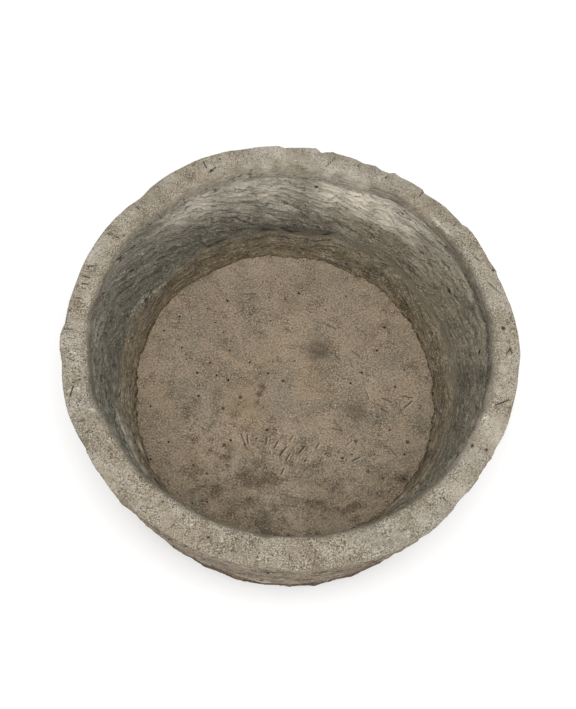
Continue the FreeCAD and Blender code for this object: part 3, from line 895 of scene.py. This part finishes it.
def floor_marks(points):
    """Height of the floor's marks in mm, and masks of where they show."""
    relief = 0.5 * mottle(points, 0.09) + 0.3 * mottle(points, 0.012, 3, 2.2)
    clouds = {"cloud": DARK_CLOUDS, "yellow": YELLOW_CLOUDS, "grey": GREY_CLOUDS, "pecked": PECKED_CLOUDS,
              "blotched": BLOTCHED_CLOUDS, "bright": LIT_FLOOR_CLOUDS}
    masks = {key: np.zeros(len(points)) for key in ("hollow_shade", "brown", "scratch", "scratch_highlight", *clouds)}

    def mark(key, near):
        masks[key] = np.maximum(masks[key], near)

    dice = random.Random(5)
    # Pinholes are carved, and painted dark as their shade
    for key, pixel, width, depth, strength in floor_holes(dice):
        place = np.array(on_floor(pixel))
        corner = points[np.argmin(np.linalg.norm(points - place, axis=-1))]
        near = near_spot(points, corner, width * MM, CRISP)
        relief -= depth * near
        mark(key, strength * near)
    for start, end in SCRATCHES:
        near = near_line(points, on_floor(start), on_floor(end), SCRATCH_WIDTH)
        relief -= SCRATCH_DEPTH_MM * near
        mark("scratch", dice.uniform(*UNEVEN_STRENGTH) * near)
        # A painted highlight beside each scratch
        mark("scratch_highlight", near_line(points, on_floor(start) + SCRATCH_HIGHLIGHT_SHIFT, on_floor(end) + SCRATCH_HIGHLIGHT_SHIFT, SCRATCH_HIGHLIGHT_WIDTH))
    for key, marks in clouds.items():
        for x, y, width, strength in marks:
            mark(key, strength * near_spot(points, on_floor((x, y)), width * MM))
    return np.minimum(relief, FLOOR_HIGHEST_MM), masks


def slab_sides(turn, floor_edge):
    """Rings of the slab outside its floor: radius, height, and how much each is a hewn side."""
    top = outside_radius(turn, FLOOR_TOP, SLAB_SIDE) + SLAB_PROUD
    rings = [(floor_edge + (top - floor_edge) * share, FLOOR_TOP, 0) for share in (0.3, 0.6, 0.9)]
    for height in np.linspace(FLOOR_TOP - MM, SLAB_ARRIS, SIDE_ROWS):
        rings.append((outside_radius(turn, height, SLAB_SIDE) + SLAB_PROUD, height, 1))
    arris_top = rings[-1][0]
    for lean in np.linspace(0, math.pi / 2, ARRIS_ROWS + 1)[1:]:
        radius = arris_top - ARRIS_REACH * SLAB_ARRIS * (1 - math.cos(lean))
        rings.append((radius, SLAB_ARRIS * (1 - math.sin(lean)), 1 - lean / (math.pi / 2)))
    arris_foot = rings[-1][0]
    rings += [(arris_foot * share, 0, 0) for share in (0.66, 0.33)]
    return ring_table(turn, rings)


def slab_uv(points, faces, rows, columns, fan):
    """Bake map of the slab: its floor at the upper left, its sides below it, its underside beside them."""
    across = 2 * (FLOOR_RADIUS + FILLET_WIDTH)
    floor = points[faces.ravel(), :2] / across * BAKE_FLOOR + np.array(BAKE_FLOOR_MIDDLE)
    under = points[fan.ravel(), :2] / across * BAKE_UNDER + np.array(BAKE_UNDER_MIDDLE)
    return np.concatenate([floor, ring_uv(rows, columns, BAKE_FLOOR, BAKE_SIDES), under])


def make_slab(material):
    floor_edge = FLOOR_RADIUS + FILLET_WIDTH
    floor, squares, border = floor_disc(floor_edge)
    turn = np.degrees(np.arctan2(floor[border, 1], floor[border, 0]))
    columns = len(border)

    radius, height, side = slab_sides(turn, floor_edge)
    rows = len(radius)
    rings = ring_points(turn, radius, height)
    beds = beds_at(rings)
    push = 0.4 * mottle(rings, 0.06, 3, 6.6) + 0.6 * flakes(beds, 0.03, 4.4)
    push += 2.0 * shingled(courses_at(beds)) - 0.7
    rings += ring_points(turn, side * push * MM, 0)

    relief, masks = floor_marks(floor)
    edge = smooth_step(floor_edge, floor_edge - 6 * MM, np.hypot(floor[:, 0], floor[:, 1]))
    floor[:, 2] += relief * MM * edge
    points = np.concatenate([floor, rings.reshape(-1, 3), [[0, 0, 0]]])
    first_ring = len(floor)
    ring_numbers = np.concatenate([border, first_ring + np.arange(rows * columns)])
    band = ring_numbers[ring_faces(rows + 1, columns, False)]
    last = ring_numbers[-columns:]
    fan = np.stack([last, np.full(columns, len(points) - 1), np.roll(last, -1)], -1)

    outside_floor = np.zeros(len(points) - first_ring)
    masks = {key: np.concatenate([values, outside_floor]) for key, values in masks.items()}
    masks["side"] = np.concatenate([np.zeros(first_ring), side.ravel(), [0.0]])
    uv = slab_uv(points, squares, rows, columns, fan)
    faces = squares.tolist() + band.tolist() + fan.tolist()
    add_piece("slab", points, faces, uv, masks, material, "base_slab")


# Mortar

def make_mortar(material):
    """The bed between the stones, whose fillet inside is ragged and broken away in places."""
    turn = np.arange(COLUMNS) * 360 / COLUMNS
    foot = inside_radius(turn, RING_FOOT)
    toe_line = ring_points(turn, foot, FLOOR_TOP)
    ragged = mottle(toe_line, 0.012, 4, 1.3)
    chipped = mottle(toe_line, 0.007, 3, 5.1)
    broken = smooth_step(0.0, 0.3, mottle(toe_line, 0.03, 3, 8.1))
    width = np.clip((2.6 + 1.8 * ragged + 1.2 * chipped) * (1 - 0.5 * broken), 0.4, None) * MM
    rise = (FILLET_TOP - FLOOR_TOP) * (0.75 + 0.25 * ragged)
    wall = inside_radius(turn, FLOOR_TOP + rise) + 0.5 * MM
    bed = wall + 2 * MM
    outer = outside_radius(turn, RING_FOOT) - JOINT_RECESS
    rings = []
    for share in np.linspace(0, 1, FILLET_ROWS):
        radius = (foot - width) * (1 - share) + wall * share
        rings.append((radius, FLOOR_TOP + rise * share + 0.2 * MM, 1 - share))
    rings += [(bed + (outer - bed) * share, RING_FOOT, 0) for share in BED_SHARES]
    rings += [(outer, RING_FOOT + (FLOOR_TOP - RING_FOOT) * share, 0) for share in (0.33, 0.66)]
    rings += [(outer + (foot - outer) * share, FLOOR_TOP, 0) for share in BED_SHARES]
    radius, height, toe = ring_table(turn, rings)
    points = ring_points(turn, radius, height)
    crumbs = 0.8 * mottle(points, 0.006, 3, 4.9) * MM
    crumbs[FILLET_ROWS:FILLET_ROWS + len(BED_SHARES)] = 0
    points = points + grid_normals(points) * crumbs[..., None]
    joint = np.broadcast_to(around(JOINT_DARK, turn), radius.shape)
    masks = {"broken": np.broadcast_to(broken, radius.shape), "foot": toe, "joint": joint}
    faces = ring_faces(len(rings), COLUMNS, True).tolist()
    add_piece("mortar", points, faces, ring_uv(len(rings), COLUMNS), masks, material, "mortar_bed")


# Materials

def seen(red, green, blue):
    """Colour of a surface that shows on screen as this one, from 0 to 255, where it lies level."""
    def one(value):
        share = value / 255
        bright = share / 12.92 if share <= 0.04045 else ((share + 0.055) / 1.055) ** 2.4
        return bright / LIGHT_LEVEL
    return (one(red), one(green), one(blue), 1.0)


class Stone:
    """Node tree of one stone material, with short calls for the nodes that it is made of."""

    def __init__(self, name):
        self.material = bpy.data.materials.new(name)
        self.material.use_nodes = True
        self.tree = self.material.node_tree
        self.shader = self.tree.nodes["Principled BSDF"]
        self.place = self.node("TexCoord", {})["Object"]
        self.beds = self.attribute("beds")["Vector"]

    def node(self, kind, inputs, **settings):
        """Outputs of a new node, whose settings are given by name and whose inputs by name or number."""
        node = self.tree.nodes.new("ShaderNode" + kind)
        for name, value in settings.items():
            setattr(node, name, value)
        self.wire(node, inputs)
        return node.outputs

    def wire(self, node, inputs):
        """Links a node's inputs to the outputs of other nodes, and sets the others to plain values."""
        for name, value in inputs.items():
            if isinstance(value, bpy.types.NodeSocket):
                self.tree.links.new(value, node.inputs[name])
            else:
                node.inputs[name].default_value = value

    def attribute(self, name):
        return self.node("Attribute", {}, attribute_name=name)

    def mask(self, name):
        return self.attribute(name)["Fac"]

    def noise(self, size, detail=3.0, rough=0.55, place=None, bend=0.0):
        inputs = {"Vector": place or self.place, "Scale": 1 / size, "Detail": detail}
        return self.node("TexNoise", inputs | {"Roughness": rough, "Distortion": bend})["Fac"]

    def combed(self, turn, stretch):
        """Coordinates that are stretched along a turn, so that round marks in them lie that way."""
        inputs = {"Vector": self.place, "Angle": -math.radians(turn)}
        turned = self.node("VectorRotate", inputs, rotation_type="Z_AXIS")["Vector"]
        return self.vector("MULTIPLY", turned, (1 / stretch, 1, 1))

    def grains(self, size, widest, share, place=None):
        """Round grains on a cell size, where only a share of the cells has one."""
        cells = self.node("TexVoronoi", {"Vector": place or self.place, "Scale": 1 / size})
        own = self.node("SeparateColor", {"Color": cells["Color"]})["Red"]
        chosen = self.rise(own, 1 - share, 1.1 - share)
        return self.times(self.rise(cells["Distance"], widest, 0.4 * widest), chosen)

    def bent(self, place, squeeze, size, bend):
        """Coordinates that are squeezed upwards, and bent by noise of a size."""
        push = self.node("TexNoise", {"Vector": place, "Scale": 1 / size})["Color"]
        bent = self.vector("MULTIPLY_ADD", push, (bend, bend, bend), place)
        return self.vector("MULTIPLY", bent, (1, 1, squeeze))

    def math(self, operation, *values):
        return self.node("Math", dict(enumerate(values)), operation=operation)[0]

    def vector(self, operation, *values):
        return self.node("VectorMath", dict(enumerate(values)), operation=operation)[0]

    def times(self, first, second):
        return self.math("MULTIPLY", first, second)

    def total(self, *parts):
        """Sum of values, given as (value, weight)."""
        total = 0.0
        for value, weight in parts:
            total = self.math("MULTIPLY_ADD", value, weight, total)
        return total

    def rise(self, value, low, high, to_low=0.0, to_high=1.0):
        """Smooth rise of a value from one range to another, held at both ends."""
        inputs = {"Value": value, "From Min": low, "From Max": high, "To Min": to_low, "To Max": to_high}
        return self.node("MapRange", inputs, interpolation_type="SMOOTHSTEP")["Result"]

    def frayed(self, mask, fray, low, high, amount=0.5):
        """A mask with a crisp edge between two of its values, frayed by an amount of noise."""
        middle = 0.5 * amount
        return self.rise(self.math("MULTIPLY_ADD", fray, amount, mask), low + middle, high + middle)

    def near(self, value, middle, width):
        """Nearness of a value to a middle one, from 0 to 1, fading out over a width."""
        apart = self.math("ABSOLUTE", self.math("SUBTRACT", value, middle))
        return self.rise(apart, width, 0.3 * width)

    def mix(self, share, first, second):
        """Mix of two colours. The node's inputs 6 and 7 and its output 2 are the ones for colours."""
        return self.node("Mix", {0: share, 6: first, 7: second}, data_type="RGBA")[2]

    def layers(self, colour, *layers):
        """A colour under layers of others, as (value, share, colour) or (value, low, high, share, colour).

        A layer shows by its value, or by its value's rise from low to high, and at most by its share.
        """
        for value, *limits, share, shown in layers:
            cover = self.rise(value, *limits, 0.0, share) if limits else self.times(value, share)
            colour = self.mix(cover, colour, seen(*shown))
        return colour

    def finish(self, colour, height, depth, rough):
        bump = self.node("Bump", {"Distance": depth, "Strength": 1.0, "Height": height})
        self.wire(self.shader, {"Base Color": colour, "Normal": bump["Normal"], "Roughness": rough})
        self.wire(self.shader, {"Specular IOR Level": STONE_GLOSS})
        return self.material


def split_beds(stone, thinner=1.0, squeeze=0.9, stray=1.6):
    """Faces of split beds: their grain, the painted shade in the gaps under their edges, the painted
    highlight on their lips, and their height.
    """
    grain = stone.noise(0.008, 5, 0.7, stone.bent(stone.beds, squeeze, 0.02, 0.006))
    ragged = stone.noise(0.012, 6, 0.7, stone.beds)
    course = stone.math("MULTIPLY_ADD", ragged, stray, stone.times(stone.mask("course"), thinner))
    within = stone.math("FRACT", course)
    open_here = stone.rise(stone.noise(0.026, 4, 0.6, stone.beds), 0.44, 0.58)
    # The gap under each bed's edge is painted dark as its shade, and the lip over it pale as its highlight
    gap = stone.times(stone.near(within, 0.07, 0.1), open_here)
    lit_lip = stone.times(stone.near(within, 0.24, 0.14), open_here)
    height = stone.times(stone.rise(within, 0.0, 0.12), stone.math("SUBTRACT", 1.0, within))
    return grain, gap, lit_lip, height


def soiled(stone):
    """Colour of stone that lay under soil, tan above and brown towards the floor, and its grain."""
    broad = stone.noise(0.04, 5, 0.6, stone.beds, 0.5)
    grain, shaded_gaps, lit_lips, _ = split_beds(stone, 2.0, 2.6, 0.9)
    colour = stone.layers(
        seen(154, 140, 113),
        (stone.mask("foot"), 1.0, (130, 111, 81)),
        (broad, 0.42, 0.62, 0.5, (168, 154, 128)),
        # Painted shade in the grain's hollows and in the split gaps, painted highlight on the grain's crests
        # and on the lips, over the grain's own tone
        (grain, *BED_HOLLOW_SHADE, 0.45, (72, 62, 47)),
        (grain, *BED_CREST_HIGHLIGHT, 0.4, (200, 186, 160)),
        (shaded_gaps, 0.8, (38, 32, 25)),
        (lit_lips, 0.55, (216, 203, 178)),
    )
    return colour, grain


def rim_colour(stone):
    broad = stone.noise(0.07)
    middle = stone.noise(0.022, 5, 0.65)
    chiselled = stone.noise(0.0036, 2, 0.6, stone.attribute("radial")["Vector"])
    strokes = stone.times(stone.rise(chiselled, 0.56, 0.68), stone.mask("hatch"))
    return stone.layers(
        seen(166, 158, 141),
        (broad, 0.35, 0.65, 1.0, (170, 157, 135)),
        (middle, 0.5, 0.62, 0.7, (190, 182, 166)),
        (middle, 0.48, 0.36, 0.7, (132, 120, 99)),
        (stone.mask("stain"), 0.6, (124, 109, 86)),
        (strokes, 0.6, (86, 76, 61)),
        # Painted shade on the faces of the chisel's cuts in the rim's edge
        (stone.mask("cut_shade"), 0.2, (112, 101, 83)),
    )


def upper_colour(stone, grain, shaded_gaps, lit_lips):
    """Colour of the steep wall inside, above the soil."""
    streak = stone.noise(0.04, 5, 0.6, stone.beds, 0.5)
    return stone.layers(
        seen(154, 147, 130),
        (stone.mask("cool"), 1.0, (140, 138, 123)),
        (stone.mask("warm"), 0.7, (166, 150, 120)),
        # Paler upper wall, partly painted light where the back wall faces the lamp
        (stone.mask("pale_upper"), 1.0, (216, 208, 191)),
        (streak, 0.48, 0.34, 0.4, (104, 99, 87)),
        # Darker towards the ledge
        (stone.mask("darker_down"), 0.6, (90, 85, 73)),
        # Painted shade in the grain's hollows and in the split gaps, painted highlight on the grain's crests
        # and on the lips, over the grain's own tone
        (grain, *BED_HOLLOW_SHADE, 0.3, (78, 72, 61)),
        (grain, *BED_CREST_HIGHLIGHT, 0.3, (214, 207, 190)),
        (shaded_gaps, 0.8, (40, 36, 30)),
        (lit_lips, 0.45, (232, 224, 207)),
    )


def inner_colour(stone, grain, shaded_gaps, lit_lips, lower):
    """Colour of the wall inside: the soiled foot under the upper wall, with clouds and streaks on both."""
    soil = stone.frayed(stone.mask("soil"), stone.noise(0.014, 4, 0.7, stone.beds), 0.4, 0.6, 1.6)
    shade_and_darker = stone.frayed(stone.mask("shade_and_darker"), grain, 0.0, 1.0, 0.9)
    pale_and_lit = stone.frayed(stone.mask("pale_and_lit"), grain, 0.0, 1.0, 0.35)
    streaks = stone.noise(0.018, 5, 0.75, stone.beds)
    streaked = stone.mask("streaked")
    return stone.layers(
        stone.mix(soil, upper_colour(stone, grain, shaded_gaps, lit_lips), lower),
        # Painted shade below the rim's inner edge and under the ledge, and darker patches of the wall
        (shade_and_darker, 0.5, (20, 18, 16)),
        # Pale patches, partly painted light on the back wall, and painted highlights over cracks
        (pale_and_lit, 0.65, PALE_AND_LIT_COLOUR),
        (stone.times(stone.rise(streaks, 0.49, 0.38), streaked), 0.6, (56, 52, 44)),
        (stone.times(stone.rise(streaks, 0.52, 0.63), streaked), 0.5, (230, 224, 208)),
    )


def outer_colour(stone, grain, shaded_gaps, lit_lips):
    broad = stone.noise(0.07, 5, 0.68, stone.beds, 0.4)
    small = stone.noise(0.016, 4, 0.65)
    return stone.layers(
        seen(114, 99, 78),
        (broad, 0.41, 0.59, 1.0, (170, 151, 127)),
        # Painted shade in the grain's hollows and in the split gaps, painted highlight on the grain's crests
        # and on the lips, over the grain's own tone
        (grain, *BED_HOLLOW_SHADE, 0.7, (66, 55, 42)),
        (grain, *BED_CREST_HIGHLIGHT, 0.6, (208, 193, 170)),
        (small, 0.46, 0.32, 0.7, (62, 51, 38)),
        (shaded_gaps, 0.8, (44, 36, 28)),
        (lit_lips, 0.5, (212, 198, 176)),
        # Painted highlight along the wall's outer foot at the front
        (stone.frayed(stone.mask("lit_lip"), small, 0.2, 0.7, 1.4), 0.8, (206, 192, 170)),
    )


def wall_material():
    stone = Stone("hewn_stone")
    rim = stone.mask("rim")
    fine = stone.mix(rim, stone.noise(0.0034, 4, 0.8, stone.beds), stone.noise(0.0017, 4, 0.75))
    pepper = stone.grains(0.0026, 0.45, 0.2)
    grain, gaps, edges, torn = split_beds(stone)
    # The split gaps' painted shade and the lips' painted highlight, weighted around the wall
    shaded_gaps = stone.times(gaps, stone.mask("split_shading"))
    lit_lips = stone.times(edges, stone.mask("split_shading"))
    lower, strata = soiled(stone)
    inner = inner_colour(stone, grain, shaded_gaps, lit_lips, lower)
    wall = stone.mix(stone.mask("inside"), outer_colour(stone, strata, shaded_gaps, lit_lips), inner)
    # Painted shade in the groove under the rim's inner edge
    groove_shade = stone.frayed(stone.mask("groove_shade"), grain, 0.2, 0.8, 1.0)
    wall = stone.layers(wall, (groove_shade, 0.6, (66, 62, 52)))
    bevel = stone.frayed(stone.mask("bevel"), stone.noise(0.006, 4, 0.7), 0.1, 0.9, 1.2)
    stipple = stone.times(stone.mask("stipple"), stone.rise(stone.noise(0.02, 4, 0.6), 0.4, 0.6, 0.7, 1.2))
    colour = stone.layers(
        stone.mix(rim, wall, rim_colour(stone)),
        (bevel, 0.5, (108, 102, 88)),
        (stone.mask("pale"), 1.0, (228, 219, 203)),
        # Painted shade in the hollows of the fine grain and in the rim's pits, painted highlight on the fine
        # grain's crests, over their own tone
        (stone.times(stone.rise(fine, *GRAIN_HOLLOW_SHADE), stipple), 0.85, (76, 68, 56)),
        (stone.times(stone.rise(fine, *GRAIN_CREST_HIGHLIGHT), stipple), 0.8, (222, 214, 198)),
        (stone.times(pepper, rim), 0.5, (74, 66, 54)),
        # Painted shade in pits, lines, cracks and the crevice
        (stone.frayed(stone.mask("hollow_shade"), fine, 0.35, 0.65), 0.9, (42, 36, 29)),
    )
    wall_height = stone.total((fine, 0.8), (grain, 1.2), (torn, 1.2), (shaded_gaps, -0.6))
    height = stone.mix(rim, wall_height, stone.total((fine, 1.0), (pepper, -0.5)))
    return stone.finish(colour, height, 1.2 * MM, stone.rise(fine, 0.2, 0.8, 0.8, 0.98))


def floor_colour(stone, middle, small):
    """Colour of the floor without its grain, and where it is smudged dark."""
    broad = stone.noise(0.08)
    hue = stone.noise(0.035, 4, 0.6)
    blotched = stone.mask("blotched")
    dark_blotch = stone.times(blotched, stone.rise(middle, 0.5, 0.4, 0.0, 0.65))
    clouded = stone.frayed(stone.mask("cloud"), small, 0.0, 0.9, 0.9)
    colour = stone.layers(
        seen(148, 132, 110),
        (broad, 0.4, 0.6, 1.0, (166, 149, 126)),
        (hue, 0.52, 0.64, 0.9, (174, 155, 131)),
        (hue, 0.48, 0.36, 0.9, (138, 128, 110)),
        (middle, 0.5, 0.34, 0.7, (116, 101, 82)),
        (small, 0.5, 0.66, 0.5, (186, 170, 147)),
        (dark_blotch, 1.0, (94, 80, 63)),
        (stone.times(blotched, stone.rise(middle, 0.53, 0.6)), 0.75, (194, 176, 154)),
        (stone.times(blotched, stone.rise(small, 0.48, 0.38)), 0.5, (96, 83, 66)),
        (stone.mask("yellow"), 0.5, (174, 151, 115)),
        (stone.mask("grey"), 0.5, (162, 151, 135)),
        # Painted light that lifts the floor's shade, mostly along the wall's foot
        (stone.mask("bright"), 0.5, (206, 189, 164)),
        (clouded, 1.0, (90, 77, 61)),
    )
    return colour, stone.math("MAXIMUM", clouded, dark_blotch)


# Colour of the slab's hewn side: dark brown, partly as painted shade at the foot, with painted shade in its
# strata's hollows and split gaps and painted highlight on the strata's crests
def slab_side_colour(stone, middle, strata, shaded_splits):
    return stone.layers(
        seen(80, 64, 47),
        (middle, 0.4, 0.65, 1.0, (112, 93, 72)),
        (strata, 0.5, 0.37, 0.7, (50, 40, 30)),
        (strata, 0.53, 0.68, 0.5, (172, 153, 128)),
        (shaded_splits, 0.8, (40, 32, 24)),
    )


def floor_material():
    stone = Stone("floor_stone")
    side = stone.mask("side")
    pecked = stone.mask("pecked")
    middle = stone.noise(0.024, 5, 0.62)
    small = stone.noise(0.008, 4, 0.6)
    fine = stone.noise(0.0024, 4, 0.75)
    strata, shaded_splits, _, _ = split_beds(stone)
    specks = stone.grains(0.0042, 0.36, 0.22)
    flecks = stone.grains(0.0046, 0.3, 0.14)
    pecks = stone.grains(0.0032, 0.42, 0.3, stone.combed(62, 4.0))
    peck_lips = stone.grains(0.0034, 0.42, 0.3, stone.combed(70, 4.0))
    top, smudged = floor_colour(stone, middle, small)
    smooth_yellow = stone.rise(stone.mask("yellow"), 0, 1, 1, 0.6)
    grainy = stone.times(stone.rise(middle, 0.38, 0.6, 1.05, 0.75), smooth_yellow)
    dull = stone.math("MAXIMUM", side, stone.rise(smudged, 0.0, 0.6))
    glints = stone.times(grainy, stone.rise(dull, 0, 1, 1, 0.4))
    on_top = stone.math("SUBTRACT", 1.0, stone.times(side, 0.8))
    colour = stone.layers(
        stone.mix(side, top, slab_side_colour(stone, middle, strata, shaded_splits)),
        (stone.times(peck_lips, pecked), 0.6, (206, 189, 165)),
        (stone.times(pecks, pecked), 0.8, (70, 58, 44)),
        # Painted shade in the fine grain's hollows and painted highlight on its crests, over its own tone
        (stone.times(stone.rise(fine, *GRAIN_HOLLOW_SHADE), grainy), 0.8, (74, 62, 48)),
        (stone.times(stone.rise(fine, *GRAIN_CREST_HIGHLIGHT), glints), 0.75, (214, 199, 176)),
        (stone.times(specks, on_top), 0.55, (78, 66, 51)),
        (stone.times(flecks, on_top), 0.4, (212, 199, 178)),
        # A painted highlight beside each scratch
        (stone.frayed(stone.mask("scratch_highlight"), fine, 0.4, 0.9, 0.8), 0.5, (212, 197, 174)),
        (stone.frayed(stone.mask("scratch"), fine, 0.15, 0.8, 1.1), 0.8, (56, 46, 34)),
        (stone.frayed(stone.mask("brown"), fine, 0.15, 0.6, 0.8), 0.85, (80, 58, 34)),
        # Painted shade in the pinholes
        (stone.frayed(stone.mask("hollow_shade"), fine, 0.35, 0.6), 1.0, (36, 28, 20)),
    )
    height = stone.mix(side, fine, stone.total((strata, 3.0), (fine, 1.0)))
    return stone.finish(colour, height, 0.7 * MM, stone.rise(fine, 0.2, 0.8, 0.75, 0.95))


def mortar_material():
    stone = Stone("mortar")
    fine = stone.noise(0.002, 3, 0.7)
    earthy, strata = soiled(stone)
    dashed = stone.rise(stone.noise(0.0045, 4, 0.7), 0.46, 0.56)
    toe = stone.times(stone.rise(stone.mask("foot"), 0.45, 0.75), dashed)
    colour = stone.layers(
        earthy,
        # Painted shade in the fine grain's hollows and painted highlight on its crests, over its own tone
        (fine, 0.5, 0.33, 0.5, (66, 56, 43)),
        (fine, 0.53, 0.68, 0.4, (200, 186, 162)),
        (stone.times(toe, stone.mask("joint")), 1.0, (40, 32, 24)),
        (stone.mask("broken"), 0.3, (74, 63, 49)),
    )
    height = stone.total((strata, 1.5), (fine, 1.0))
    return stone.finish(colour, height, 1.0 * MM, stone.rise(fine, 0.2, 0.8, 0.85, 0.98))


# Stage and light

def make_stage():
    material = bpy.data.materials.new("pale_floor")
    material.use_nodes = True
    shader = material.node_tree.nodes["Principled BSDF"]
    shader.inputs["Base Color"].default_value = STAGE_COLOUR
    shader.inputs["Roughness"].default_value = STAGE_ROUGHNESS
    corners = [(x * STAGE_REACH, y * STAGE_REACH, 0) for x, y in ((-1, -1), (1, -1), (1, 1), (-1, 1))]
    mesh = bpy.data.meshes.new("floor")
    mesh.from_pydata(corners, [], [(0, 1, 2, 3)])
    mesh.materials.append(material)
    floor = bpy.data.objects.new("floor", mesh)
    bpy.context.scene.collection.objects.link(floor)


def make_lights():
    world = bpy.data.worlds.new("studio")
    world.use_nodes = True
    world.node_tree.nodes["Background"].inputs["Color"].default_value = (1, 1, 1, 1)
    world.node_tree.nodes["Background"].inputs["Strength"].default_value = SKY_STRENGTH
    bpy.context.scene.world = world
    data = bpy.data.lights.new("key", "AREA")
    data.size = LAMP_SIZE
    data.energy = LAMP_POWER
    lamp = bpy.data.objects.new("key", data)
    lamp.location = LAMP_PLACE
    lamp.rotation_euler = (LAMP_TARGET - LAMP_PLACE).to_track_quat("-Z", "Y").to_euler()
    bpy.context.scene.collection.objects.link(lamp)
    bpy.context.scene.view_settings.view_transform = "Standard"


make_camera()
make_wall(wall_material())
make_mortar(mortar_material())
make_slab(floor_material())
make_stage()
make_lights()
bpy.context.view_layer.update()
